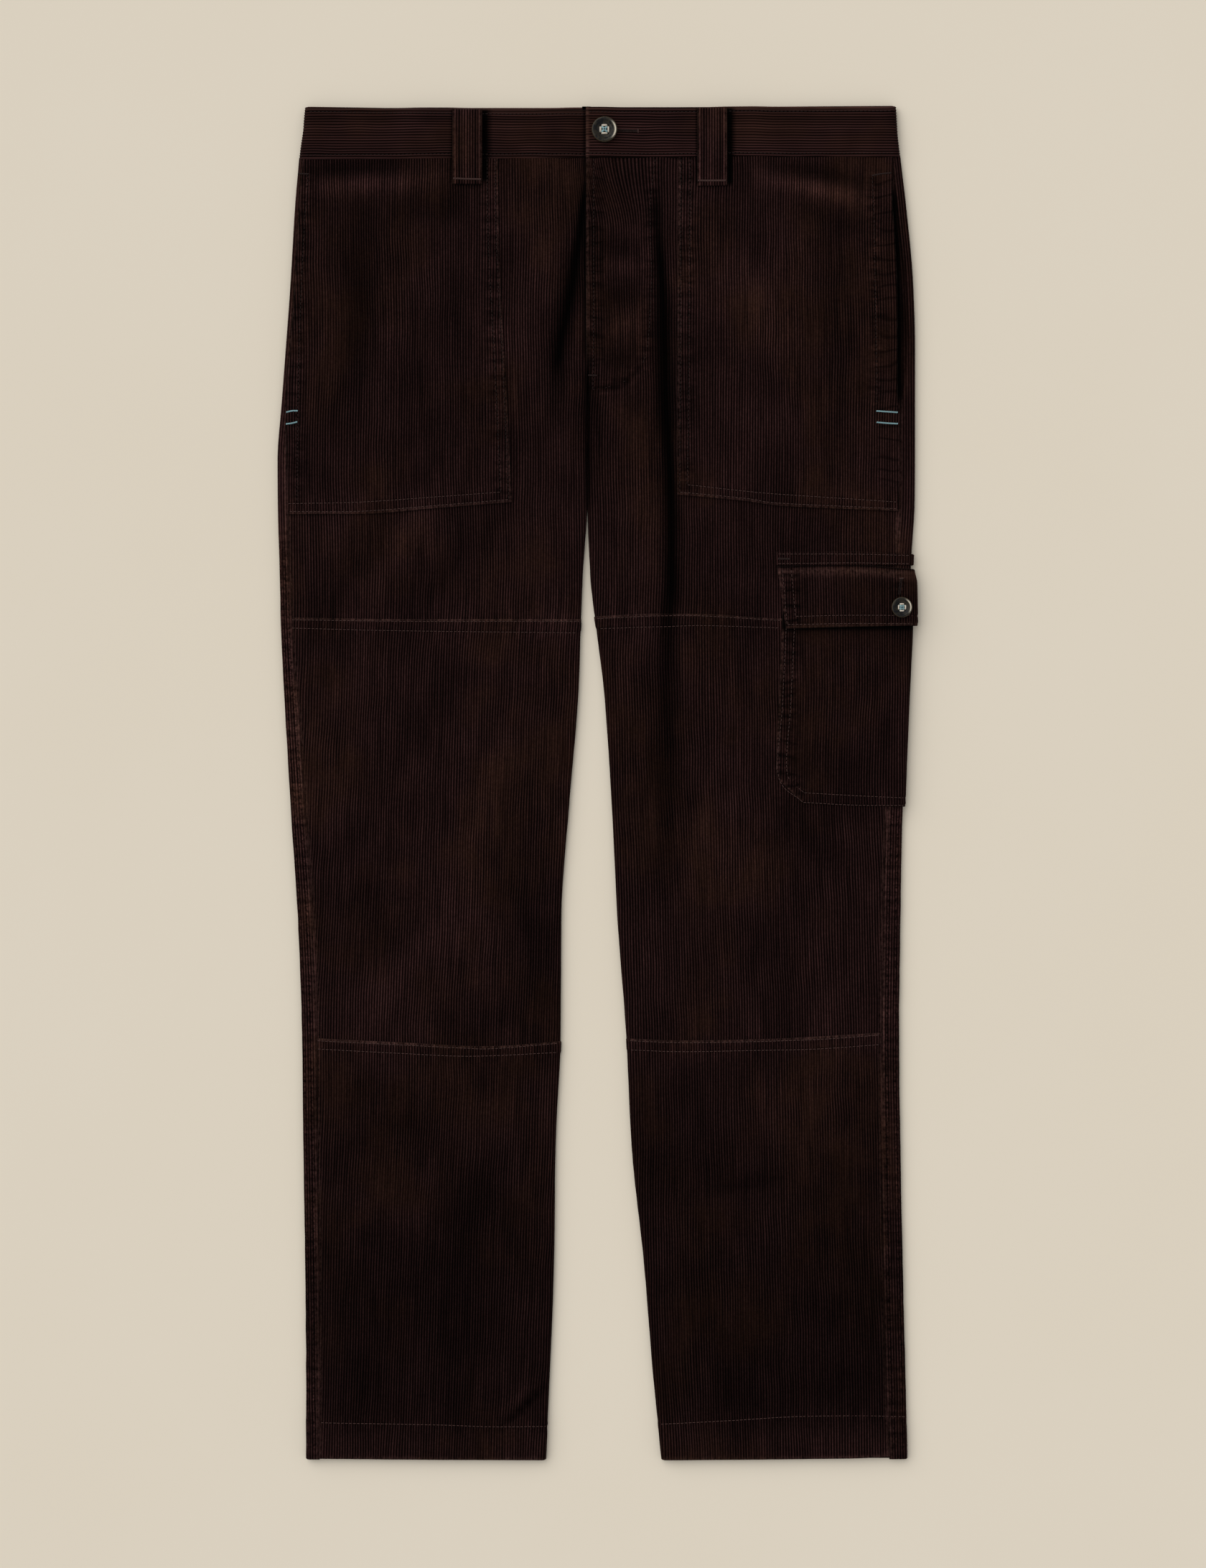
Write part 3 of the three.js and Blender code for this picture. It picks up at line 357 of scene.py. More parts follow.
def crease_marks(side, x, y):
    """Sum of the long creases, and of the painted shade in their troughs: each is its rise times a bell across it."""
    height, dark = 0, 0
    for rows in CREASES[side]:
        rise = curve(rows, 3, y)
        off = (x - curve(rows, 1, y)) / curve(rows, 2, y)
        height = height + rise * np.exp(-off * off)
        dark = dark + np.clip(-rise / 3.4, 0, 1) * np.exp(-1.25 * off * off)
    return height, np.clip(dark, 0, 1)


def pile_tone(side, x, y):
    """How light the cloth is drawn: uneven everywhere and darker toward the hems, with painted light on raised
    folds, painted shade in sunken folds and in the creases' troughs, a painted shadow beside the left front's
    lap edge, painted shade in the left pocket's mouth and painted shadows beside the front belt loops. It is 1
    on plain cloth."""
    uneven = 0.24 * patchy(x, 0.55 * y, 36, 51) + 0.14 * patchy(x, y, 14, 52)
    shin = np.interp(y, [-510, -497, -470, -400, -300, -200], [0.9, 0.62, 0.55, 0.64, 0.84, 1.0])
    # Painted shade in the troughs of the creases.
    crease_shade = 1 - 0.96 * crease_marks(side, x, y)[1] ** 0.6
    # Painted shadow on the right front beside the left front's lap edge.
    lap = 1 - 0.75 * (side == "right") * lapped(y) * np.exp(-(((x + 10.0) / 1.6) ** 2))
    # Painted shade in the left pocket's mouth and painted shadows beside the front belt loops.
    shaded = (1 - 0.95 * mouth(side, x, y)) * (1 - 0.95 * loop_shadow(side, x, y))
    # Painted light on raised folds and painted shade on sunken ones, by the folds' heights.
    return (1 + uneven) * shin * np.exp(0.4 * fold_marks(side, x, y)) * crease_shade * lap * shaded


def mouth_edge(y):
    """How far short of the side seam the left pocket's open edge lies."""
    return 2.0 * smooth((y - 284) / 12) * smooth((474 - y) / 6)


def mouth(side, x, y):
    """1 in the left pocket's open mouth: between its edge and the back's strip that shows."""
    tall = smooth((y - 288) / 16) * smooth((472 - y) / 14)
    wide = mix(2.8, 6.8, smooth((470 - y) / 110)) * mix(0.4, 1, smooth((y - 290) / 60))
    seam = side_seam("left", y)
    return (side == "left") * tall * smooth((wide - (x - seam)) / 1.4) * smooth((x - seam + 2.6) / 0.6)


def loop_shadow(side, x, y):
    """Painted shadow of the front belt loop: how much darker the cloth is drawn at the loop's right, left and lower
    edges.
    """
    middle, bottom, top = FRONT_LOOPS[side]
    off, half = x - middle, LOOP_WIDTH / 2
    right = smooth((off - half + 2) / 1.5) * smooth((half + 6.8 - off) / 2.8)
    left = 0.7 * smooth((half + 2.8 + off) / 1.6) * smooth((2 - half - off) / 1.5)
    beside = np.maximum(right, left) * smooth((y - bottom + 1) / 3) * smooth((top + 2 - y) / 3)
    below = 0.5 * smooth((half + 1 - np.abs(off)) / 1.5) * smooth((y - bottom + 2.4) / 1.2) * smooth((bottom + 4 - y) / 2)
    return np.maximum(beside, below)


def pile_warmth(x, y):
    """Where the pile leans to a warmer, redder brown."""
    return smooth(0.4 + 0.75 * patchy(x, 0.7 * y, 42, 61) + 0.4 * patchy(x, y, 17, 62))


def fold_marks(side, x, y):
    """Sum of the soft folds: rise, times the 0.7th power of a sine along it, times a bell across it."""
    height = 0
    for x0, y0, x1, y1, half, rise in FOLDS[side]:
        dx, dy = x1 - x0, y1 - y0
        length = np.hypot(dx, dy)
        along = np.clip(((x - x0) * dx + (y - y0) * dy) / length**2, 0, 1)
        off = ((x - x0) * dy - (y - y0) * dx) / (length * half)
        height = height + rise * np.sin(np.pi * along) ** 0.7 * np.exp(-off * off)
    return height


def front_height(side, x, y):
    """Top of the front: rolled edges and a fuller middle, plus creases, folds and unevenness, sunk under
    the pocket at the waist and, on the right, under the left front's lap."""
    x, y = np.broadcast_arrays(np.asarray(x, float), np.asarray(y, float))
    sign = SIDES[side]
    outer_roll = curve(HEIGHT, 1, y)
    inner_roll = curve(HEIGHT, INNER_HEIGHT[side], y)
    middle = curve(HEIGHT, 4, y)
    from_outer = sign * (outline(side, y) - x) - outer_roll / 2
    from_inner = sign * (x - inner_outline(side, y)) - inner_roll / 2
    is_open = np.clip(np.interp(y, ROLL[:, 0], ROLL[:, 1]) / 80, 0, 1)
    z = middle + (outer_roll - middle) * (1 - smooth(from_outer / 40))
    z = z + (inner_roll - middle) * (1 - smooth(from_inner / 34))
    inner_window = mix(1, smooth(from_inner / 8), is_open)
    window = smooth(from_outer / 8) * inner_window
    uneven = 0.34 * patchy(x, y, 46, 3) + 0.2 * patchy(x, y, 21, 4) + 0.1 * patchy(x, y, 9, 5)
    z = z + (crease_marks(side, x, y)[0] + fold_marks(side, x, y) + uneven) * window
    on_pocket = smooth(sign * (x - pocket_edge(side, y)) / 16 + 0.7)
    z = z - LAYER * on_pocket * smooth((y - 446) / 36) * smooth(from_outer / 16)
    if side == "right":
        under = lapped(y) * smooth((x + 33) / 14)
        cover = front_height("left", np.maximum(x, CENTRE + 1), y) - LAYER - 0.2
        z = mix(z, np.minimum(z, cover), under)
        return np.maximum(z, FLOOR)
    on_lap = lapped(y) * smooth((FLY_WIDTH - x) / 10)
    return np.maximum(z, FLOOR + (LAYER + 0.2 + 1.2) * on_lap)


def inner_edge(side, y):
    """The inner edge of the front: the inseam, or above the crotch the lap or the underlap."""
    seam = inner_outline(side, y)
    if side == "left":
        return mix(seam, LAP_EDGE, lapped(y))
    return mix(seam, UNDERLAP, smooth((y - FLY_END - 11) / 14))


def inner_roll_radius(side, y):
    return curve(HEIGHT, INNER_HEIGHT[side], y) / 2


def bend_start(side, y, roll, edge):
    """Where the stretch that may roll starts, so that the inner edge ends on the outline."""
    radius = inner_roll_radius(side, y)
    reach = BEND_LENGTH - radius * roll + radius * np.sin(np.minimum(roll, np.pi / 2))
    return edge + SIDES[side] * reach


def front_roll(y):
    return np.radians(np.interp(y, ROLL[:, 0], ROLL[:, 1]))


def back_roll(y):
    return np.radians(np.interp(y, ROLL[:, 0], ROLL[:, 2]))


def rolled(side, start, roll, past, y, height, facing):
    """A panel's inner edge: flat, and then on an arc that leaves the flat at its height."""
    radius = inner_roll_radius(side, y)
    flat = BEND_LENGTH - radius * roll
    flat_x = start - SIDES[side] * np.minimum(past, flat)
    angle = np.maximum(0, past - flat) / radius
    x = flat_x - SIDES[side] * radius * np.sin(angle)
    z = height(flat_x) + lift(flat_x, y) - facing * radius * (1 - np.cos(angle))
    return x, z


def front_surface(side):
    """Outer face of a front: x is across, and goes on along the cloth round the rolled inner edge."""

    def surface(s, y):
        start = bend_start(side, y, front_roll(y), inner_edge(side, y))
        past = SIDES[side] * (start - s)
        bent_x, bent_z = rolled(
            side, start, front_roll(y), np.maximum(past, 0), y, lambda x: front_height(side, x, y), 1
        )
        flat_z = front_height(side, s, y) + lift(s, y)
        x = np.where(past > 0, bent_x, s)
        return np.stack([x, y, np.where(past > 0, bent_z, flat_z)], -1)

    return surface


def front_reach(side, y):
    """From the side seam to the end of the rolled inner edge."""
    seam = side_seam(side, y) - SIDES[side] * 0.15
    end = bend_start(side, y, front_roll(y), inner_edge(side, y)) - SIDES[side] * BEND_LENGTH
    return (seam, end) if side == "right" else (end, seam)


def wrapped_surface(side, away=lambda y: 0 * y, stand=lambda y: 0 * y, is_back=False):
    """A layer round the leg's outer edge: s is x on the top, then goes on along the roll and under the leg.
    It lies away outside the leg, and stands off further on the roll with the sine's fourth power."""
    sign = SIDES[side]

    def surface(s, y):
        s, y = np.broadcast_arrays(s, y)
        end, out = roll_end(side, y), away(y)
        base = roll_radius(y)
        radius = base + out
        past = sign * (s - end)
        angle = np.clip(past / radius, 0, np.pi)
        turn_x = end + sign * (radius + stand(y) * np.sin(angle) ** 4) * np.sin(angle)
        turn_z = base + lift(end, y) + radius * np.cos(angle)
        under = past - np.pi * radius
        under_x = end - sign * np.maximum(under, 0)
        under_z = lift(under_x, y) - out
        if is_back:
            start = bend_start(side, y, back_roll(y), inner_outline(side, y))
            beyond = sign * (start - under_x)
            bent_x, bent_z = rolled(
                side, start, back_roll(y), np.maximum(beyond, 0), y, lambda x: 0 * x, -1
            )
            under_z = np.where(beyond > 0, bent_z, under_z)
            under_x = np.where(beyond > 0, bent_x, under_x)
        top_z = front_height(side, s, y) + lift(s, y) + out
        x = np.where(past < 0, s, np.where(under > 0, under_x, turn_x))
        z = np.where(past < 0, top_z, np.where(under > 0, under_z, turn_z))
        return np.stack([x, y, z], -1)

    return surface


def under_place(side, x, y, out=0.0):
    """The value of s at which a wrapped layer has come round under the leg to x."""
    end = roll_end(side, y)
    return end + SIDES[side] * (np.pi * (roll_radius(y) + out) + SIDES[side] * (end - x))


def band_height(side, x, y):
    """Top of the waistband: its edge rolls, and the right half sinks under the left half's lap."""
    sign = SIDES[side]
    edge = curve(BAND_EDGE, SEAM_COLUMN[side], y)
    inboard = smooth((sign * (edge - x) - BAND["edge"] / 2) / BAND["shoulder"])
    plain = mix(BAND["edge"], BAND["top"], inboard)
    if side == "right":
        return mix(plain, BAND["sunk"], smooth((x + 30) / 19))
    return mix(BAND["lap"], plain, smooth((x - BAND_UNDERLAP - 2) / 20))


def band_surface(side):
    """Outer face of half the waistband: s is x on the top, and goes on round the side and under."""
    sign = SIDES[side]
    radius = BAND["edge"] / 2

    def surface(s, y):
        s, y = np.broadcast_arrays(s, y)
        end = curve(BAND_EDGE, SEAM_COLUMN[side], y) - sign * radius
        past = sign * (s - end)
        angle = np.clip(past / radius, 0, np.pi)
        under = past - np.pi * radius
        under_x = end - sign * np.maximum(under, 0)
        uneven = 0.16 * patchy(s, y, 34, 11) + 0.08 * patchy(s, y, 15, 12)
        top_z = band_height(side, s, y) + lift(s, y) + uneven * smooth(-past / 8)
        x = np.where(past < 0, s, np.where(under > 0, under_x, end + sign * radius * np.sin(angle)))
        turn_z = radius + lift(end, y) + radius * np.cos(angle)
        z = np.where(past < 0, top_z, np.where(under > 0, lift(under_x, y), turn_z))
        return np.stack([x, y, z], -1)

    return surface


def band_reach(side):
    """From the seam at the back, round the side and to the end of the lap at the front, in s."""
    sign = SIDES[side]
    end = curve(BAND_EDGE, SEAM_COLUMN[side], 507.0) - sign * BAND["edge"] / 2
    back = end + sign * (np.pi * BAND["edge"] / 2 + sign * (end - CENTRE - sign * 0.15))
    front = BAND_UNDERLAP if side == "right" else LAP_EDGE
    return (back, front) if side == "right" else (front, back)


def pocket_surface(side):
    """Outer face of a patch pocket: a layer over the front. The left one's mouth gapes a little."""
    hip = front_surface(side)

    def surface(s, y):
        seam = side_seam(side, y)
        reach = smooth(1 - (seam - s) / MOUTH["reach"])
        tall = smooth((y - MOUTH["bottom"]) / MOUTH["fade"]) * smooth((MOUTH["top"] - y) / MOUTH["fade"])
        gape = MOUTH["gape"] * reach * tall if side == "left" else 0
        points = hip(s, y)
        points[..., 2] += LAYER + gape
        return points

    return surface


def loop_surface(side):
    """Outer face of a front belt loop: it lies on the pocket, climbs onto the band and bows a little."""
    middle, bottom, top = FRONT_LOOPS[side]

    def surface(s, y):
        s, y = np.broadcast_arrays(s, y)
        pocket = front_height(side, s, np.minimum(y, WAIST_SEAM)) + LAYER + 0.1
        climb = smooth((y - 474) / 11)
        bow = np.sin(np.pi * np.clip((y - bottom) / (top - bottom), 0, 1))
        z = mix(pocket, band_height(side, s, y), climb) + lift(s, y) + LAYER + 2.8 * bow
        return np.stack([s, y, z], -1)

    return surface


# ---------------------------------------------------------------- stitched lines, as x, y points
LINES = {
    "right_thigh_top": [[-238.9, 127.5], [-154.8, 126.3], [-12.8, 126.3]],
    "right_thigh_low": [[-238.9, 121], [-154.8, 118.9], [-16.9, 117.3]],
    "left_thigh_top": [[-0.8, 128.5], [52.8, 130.6], [85.4, 130.2], [143.1, 126.9]],
    "left_thigh_low": [[1.8, 120.6], [49.4, 122.1], [85.4, 122.8], [141.4, 121.1]],
    "right_knee_top": [[-219.0, -200.8], [-156.5, -203.8], [-105, -206.4], [-82.2, -206.9], [-31, -202.8]],
    "right_knee_low": [[-218.7, -207.2], [-156.5, -210.4], [-99.4, -212.8], [-32, -210]],
    "left_knee_top": [[25, -200.8], [65.8, -202.2], [121.8, -201.4], [174.8, -199.5], [220, -196.3]],
    "left_knee_low": [[25.5, -208.0], [65.8, -209.2], [121.8, -208.3], [170, -207.2], [220, -203.8]],
    "right_hem_line": [[-216, -498.6], [-125, -500.2], [-83, -501.6], [-39, -501.4]],
    "left_hem_line": [[49, -499.7], [105.6, -496.7], [151, -493.9], [202, -493.1], [240, -493.9]],
    "right_pocket_side": [[-79.8, 487], [-78.7, 419.4], [-75.3, 352.2], [-72.5, 297.4], [-69.2, 221.2]],
    "right_pocket_side_2": [[-86.2, 487], [-85.0, 419.4], [-81.5, 352.2], [-78.7, 297.4], [-75.6, 226.8]],
    "right_pocket_low": [[-240.5, 211.7], [-185.6, 211.8], [-131.3, 215.9], [-69.2, 221]],
    "right_pocket_low_2": [[-241.4, 217.9], [-185.6, 219], [-131.3, 222.7], [-75.6, 226.8]],
    "left_pocket_side": [[65.2, 487], [64.9, 427], [64.5, 375], [64.2, 297], [63.7, 226.8]],
    "left_pocket_side_2": [[72.2, 487], [71.9, 427], [71.4, 375], [71.0, 297], [69.6, 232.5]],
    "left_pocket_low": [[63.7, 226.8], [116.2, 221.8], [143.1, 218.1], [233.5, 213.9]],
    "left_pocket_low_2": [[69.6, 232.5], [116.2, 227.4], [149.8, 224.6], [233.5, 219.1]],
    "fly_edge": [[-3.1, 487], [-3.1, 400], [-3.3, 340], [-3.6, 307]],
    "fly_curve": [[45, 487], [41.2, 449.7], [42.1, 394], [39.8, 348.9], [36.1, 329.4], [29, 319.5],
                  [20.3, 312.9], [6.8, 308.4], [-4.4, 306.9]],
    "left_placket": [[214.2, 473.4], [215.4, 437], [216.4, 380], [217.6, 296]],
    "right_placket": [[-225.6, 474.6], [-228.8, 430], [-232.0, 360], [-233.8, 285], [-234.2, 220]],
    "right_out_1": [[-221.0, -520], [-222.8, -257], [-229.0, -60], [-240.0, 100], [-245.5, 190]],
    "right_out_2": [[-226.3, -520], [-227.8, -257], [-234.6, -60], [-243.9, 100], [-248.4, 190]],
    "left_out_1": [[232.0, -520], [228.0, -430], [225.6, -257], [227.3, -85], [231.5, 10]],
    "left_out_2": [[238.4, -520], [236.6, -430], [233.0, -257], [232.9, -85], [236.4, 10]],
    "waist_buttonhole": [[15.0, 508.6], [31.5, 508.3]],
    "cargo_buttonhole": [[234.5, 146], [236.2, 158.5]],
    "right_band_low": [[-228, 489.6], [-120, 490.2], [21, 490.4]],
    "left_band_low": [[-7, 490.6], [110, 491.0], [231, 491.4]],
    "right_band_high": [[-225, 523.6], [-120, 522.0], [21, 521.2]],
    "left_band_high": [[-7, 522.9], [120, 523.6], [229, 524.2]],
    "strip_low": [[140.5, 171.2], [200, 171.6], [243, 170.9]],
    "strip_high": [[140.5, 178.6], [200, 178.4], [243, 177.4]],
    "flap_low": [[147.6, 123.6], [200, 124.2], [250, 124.0]],
    "flap_low_2": [[154, 130.0], [200, 130.6], [250, 130.4]],
    "flap_side": [[144.0, 166.5], [147.6, 123.6]],
    "flap_side_2": [[150.8, 166.5], [154, 130.0]],
    "bag_side": [[147.0, 122], [144.0, 60], [141.0, 5.4], [160.0, -14.9]],
    "bag_side_2": [[153.4, 122], [150.4, 60], [147.6, 8.6], [160.8, -7.4]],
    "bag_low": [[160.0, -14.9], [200, -17.0], [240, -17.2]],
    "bag_low_2": [[160.8, -7.4], [200, -9.6], [240, -11.4]],
}


def resampled(points, spacing):
    """Points at an even spacing along a smooth line through the given ones, and the way it runs there.
    The line is a Catmull-Rom spline with its end points repeated."""
    p = np.asarray(points, float)
    p = np.vstack([2 * p[0] - p[1], p, 2 * p[-1] - p[-2]])
    t = np.linspace(0, 1, 24, endpoint=False)[:, None]
    runs = []
    for a, b, c, d in zip(p[:-3], p[1:-2], p[2:-1], p[3:]):
        runs.append(0.5 * (2 * b + (c - a) * t + (2 * a - 5 * b + 4 * c - d) * t**2
                           + (3 * b - a - 3 * c + d) * t**3))
    line = np.vstack(runs + [p[-2:-1]])
    length = np.concatenate([[0], np.cumsum(np.linalg.norm(np.diff(line, axis=0), axis=1))])
    count = max(2, int(round(length[-1] / spacing)) + 1)
    at = np.linspace(0, length[-1], count)
    return np.stack([np.interp(at, length, line[:, k]) for k in range(line.shape[1])], -1)


def distance_to(line, x, y):
    """Distance of points to a line, by the nearest of its segments, where their count is small."""
    best = np.full(np.shape(x), 1e9)
    points = resampled(line, 24.0)
    for (ax, ay), (bx, by) in zip(points[:-1], points[1:]):
        dx, dy = bx - ax, by - ay
        t = np.clip(((x - ax) * dx + (y - ay) * dy) / (dx * dx + dy * dy), 0, 1)
        best = np.minimum(best, np.hypot(x - ax - t * dx, y - ay - t * dy))
    return best


def is_across(line):
    """Whether a line runs more across the legs than along them."""
    return abs(line[-1][0] - line[0][0]) > abs(line[-1][1] - line[0][1])


# ---------------------------------------------------------------- meshes
def mesh_object(name, points, quads, materials, uv=None, marks=None, indices=None):
    """Puts points in mm and quads into a mesh in metres, with a grain map and marks on its points."""
    used, new = np.unique(quads, return_inverse=True)
    quads = new.reshape(-1, 4)
    mesh = bpy.data.meshes.new(name)
    mesh.vertices.add(len(used))
    mesh.vertices.foreach_set("co", (points[used] * MM).astype(np.float32).ravel())
    mesh.loops.add(quads.size)
    mesh.loops.foreach_set("vertex_index", quads.ravel().astype(np.int32))
    mesh.polygons.add(len(quads))
    mesh.polygons.foreach_set("loop_start", np.arange(0, quads.size, 4, dtype=np.int32))
    mesh.polygons.foreach_set("use_smooth", np.ones(len(quads), bool))
    if indices is not None:
        mesh.polygons.foreach_set("material_index", indices.astype(np.int32))
    mesh.update(calc_edges=True)
    if uv is not None:
        layer = mesh.uv_layers.new(name="Grain")
        layer.data.foreach_set("uv", (uv[used][quads.ravel()] * MM).astype(np.float32).ravel())
    for mark, values in (marks or {}).items():
        layer = mesh.attributes.new(mark, "FLOAT", "POINT")
        layer.data.foreach_set("value", values[used].astype(np.float32))
    for material in materials:
        mesh.materials.append(material)
    piece = bpy.data.objects.new(name, mesh)
    bpy.context.scene.collection.objects.link(piece)
    return piece


def grid_quads(rows, columns):
    """The quads of a grid of points, row by row."""
    r, c = np.meshgrid(np.arange(rows - 1), np.arange(columns - 1), indexing="ij")
    first = (r * columns + c).ravel()
    return np.stack([first, first + 1, first + columns + 1, first + columns], -1)


def unit(v):
    return v / np.maximum(np.linalg.norm(v, axis=-1, keepdims=True), 1e-9)


def wale_depth(u, pitch, depth):
    """How far the cloth lies below its ridges, by the square of a cosine."""
    return depth * np.cos(np.pi * u / pitch) ** 2


def cloth(name, surface, s, y, grain, lines=(), thick=1.3, turn=6.0, hem_turn=None, raise_by=None,
          tone=None, wear=None, ripple=None, material=None):
    """A sheet of cloth through a grid: the outer face, a rounded rim and the edge turned in behind it.
    Each point goes in from its surface by its place on the rim, by the groove between two wales and by
    the pull of the stitched lines. grain gives the distance across the wales. Tone, which holds random tone
    with painted light and shade, wear, and ripple, drawn as bump with painted shade in its furrows, are
    for the side that faces up, and what faces down is plain."""
    settings = bpy.context.scene.trousers_cloth
    hem_turn = turn if hem_turn is None else hem_turn
    rows, columns = s.shape
    inward = np.array([turn, 0.0, 0.0])
    s = np.hstack([s[:, :1] + inward, s, s[:, -1:] - inward[::-1]])
    y = np.hstack([y[:, :1].repeat(3, 1), y, y[:, -1:].repeat(3, 1)])
    low, high = np.array([[hem_turn], [0], [0]]), np.array([[0], [0], [turn]])
    s = np.vstack([s[:1].repeat(3, 0), s, s[-1:].repeat(3, 0)])
    y = np.vstack([y[:1] + low, y, y[-1:] - high])
    depth_s = np.concatenate([[1, 1, 0.5], np.zeros(columns), [0.5, 1, 1]])
    depth_y = np.concatenate([[1, 1, 0.5], np.zeros(rows), [0.5, 1, 1]])
    push_s = np.concatenate([[0, 0, -1], np.zeros(columns), [1, 0, 0]])
    push_y = np.concatenate([[0, 0, -1], np.zeros(rows), [1, 0, 0]])
    inside = np.maximum(depth_s[None, :], depth_y[:, None])
    outside = 1 - np.minimum(inside * 2, 1)
    step = 0.4
    points = surface(s, y)
    along_s = unit(surface(s + step, y) - surface(s - step, y))
    along_y = unit(surface(s, y + step) - surface(s, y - step))
    normal = unit(np.cross(along_s, along_y))
    u = grain(s, y)
    x, py = points[..., 0], points[..., 1]
    pull, seam_across, seam_along, stitch = 0, np.zeros(x.shape), np.zeros(x.shape), np.zeros(x.shape)
    for line in lines:
        away = distance_to(LINES[line], x, py)
        pull = pull + 0.5 * np.exp(-((away / 1.0) ** 2))
        near = np.exp(-((away / 5.5) ** 2))
        bead = 0.3 if line == "fly_curve" else 0.5 if is_across(LINES[line]) else 0.9
        stitch = np.maximum(stitch, np.exp(-((away / 1.7) ** 2)) * bead)
        if is_across(LINES[line]):
            seam_across = np.maximum(seam_across, near)
        else:
            seam_along = np.maximum(seam_along, near)
    pull = pull + 0.22 * seam_across * patchy(x, 0.25 * py, 4.6, 21)
    pull = pull + 0.22 * seam_along * patchy(0.25 * x, py, 6.0, 22)
    rise = raise_by(x, py) if raise_by else 0
    groove = wale_depth(u, settings.wale_pitch / MM, settings.wale_depth / MM)
    move = (rise - pull - groove) * outside - thick * inside
    points = points + normal * move[..., None]
    points = points + (along_s * push_s[None, :, None] + along_y * push_y[:, None, None]) * 0.4 * thick
    quads = grid_quads(*s.shape)
    flat = points.reshape(-1, 3)
    a, b, c, d = (flat[quads[:, k]] for k in range(4))
    area = np.linalg.norm(np.cross(c - a, d - b), axis=1)
    shown = smooth(3 * normal[..., 2] + 1)
    plain = 1 + 0.16 * patchy(x, 0.5 * py, 30, 51)
    marks = {
        "seam_across": seam_across, "seam_along": seam_along, "stitch": stitch,
        # The tone mark holds random tone with painted light and shade.
        "tone": mix(plain, tone(x, py) if tone else plain, shown), "warmth": pile_warmth(x, py),
        "wear": wear(x, py) * shown if wear else 0 * x, "ripple": ripple(x, py) * shown if ripple else 0 * x,
    }
    marks = {mark: values.ravel() for mark, values in marks.items()}
    uv = np.stack([u, py], -1).reshape(-1, 2)
    piece = mesh_object(name, flat, quads[area > 1e-5], [material or bpy.data.materials["brown_corduroy"]], uv, marks)
    return piece


def spread_rows(guides, x, step, dense=(0, 0.5, 1.0, 1.6, 2.4, 3.6)):
    """Rows of y for columns at x: they follow the guide lines closely and are evenly spread between.
    Each guide is a function of x, from the lowest to the highest."""
    rows = []
    for low, high in zip(guides[:-1], guides[1:]):
        y0, y1 = low(x), high(x)
        room = float(np.min(y1 - y0))
        margin = min(dense[-1], room / 3)
        near = [d * margin / dense[-1] for d in dense]
        count = max(1, int(np.ceil((float(np.max(y1 - y0)) - 2 * margin) / step)))
        rows += [y0 + d for d in near]
        rows += [mix(y0 + margin, y1 - margin, k / count) for k in range(1, count)]
        rows += [y1 - d for d in near[:0:-1]]
    rows.append(guides[-1](x))
    return np.array(rows)


def wale_columns(reach, y_low, y_high, lean):
    """Places of the columns across a piece: four for each wale, from one edge to the other."""
    pitch = bpy.context.scene.trousers_cloth.wale_pitch / MM / 4
    ys = np.linspace(y_low, y_high, 40)
    low, high = reach(ys)
    offset = lean(ys)
    first, last = np.floor((low - offset).min() / pitch), np.ceil((high - offset).max() / pitch)
    return np.arange(first - 4, last + 5) * pitch


def cloth_grid(reach, guides, lean, step):
    """The grid of a piece whose wales run along it: columns on the wales, held within its two edges."""
    middle = 0.0
    y_low, y_high = float(guides[0](middle)), float(guides[-1](middle))
    columns = wale_columns(reach, y_low - 6, y_high + 6, lean)
    x_guess = np.clip(columns + lean(0.5 * (y_low + y_high)), -260, 260)
    y = spread_rows(guides, x_guess, step)
    low, high = reach(y)
    s = np.clip(columns[None, :] + lean(y) + wander(columns[None, :], y), low, high)
    return s, y


def offset_line(name, by):
    """A guide that keeps a set distance from a seam."""
    return lambda x: across(name)(x) + by


def level(y):
    return lambda x: np.asarray(x, float) * 0 + y


def wander(u, y):
    """How far a wale wanders from a straight line, in mm. Under the waistband the fly's wales slant."""
    slant = 12 * smooth((430 - y) / 60 + 1) * np.exp(-(((u - 16) / 24) ** 2))
    slant = slant - 12 * np.exp(-(((u - 16) / 24) ** 2))
    return 1.3 * patchy(u, 0.6 * y, 52, 41) + 0.5 * patchy(u, 0.8 * y, 19, 42) + slant


def straight_grain(lean):
    """Distance across the wales where they lean and wander, found by repeated correction."""

    def grain(s, y):
        u = s - lean(y)
        for _ in range(4):
            u = s - lean(y) - wander(u, y)
        return u

    return grain


def declare(piece, node):
    """The piece stands for its node and rides on the one body."""
    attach(piece, "root")
    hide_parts(node)
    return piece


# ---------------------------------------------------------------- settings
class ClothSettings(PropertyGroup):
    wale_pitch: FloatProperty(
        name="Wale pitch", description="From one ridge of the corduroy to the next",
        default=0.00207, min=0.001, max=0.004, subtype="DISTANCE", unit="LENGTH", precision=5,
    )
    wale_depth: FloatProperty(
        name="Wale depth", description="How far the groove lies below the ridge",
        default=0.00045, min=0.0, max=0.001, subtype="DISTANCE", unit="LENGTH", precision=5,
    )
    # The ridge colour holds painted sheen besides the pile's own colour.
    ridge: FloatVectorProperty(
        name="Ridge colour", description="Colour of the pile on the ridges",
        default=(0.0198, 0.0083, 0.0080), min=0, max=1, size=3, subtype="COLOR",
    )
    # The groove colour holds painted shade besides the ground's own colour.
    groove: FloatVectorProperty(
        name="Groove colour", description="Colour of the ground between the ridges",
        default=(0.0018, 0.0007, 0.0006), min=0, max=1, size=3, subtype="COLOR",
    )
    worn: FloatVectorProperty(
        name="Worn colour", description="Colour of the pile along rubbed edges and seams",
        default=(0.036, 0.0175, 0.015), min=0, max=1, size=3, subtype="COLOR",
    )


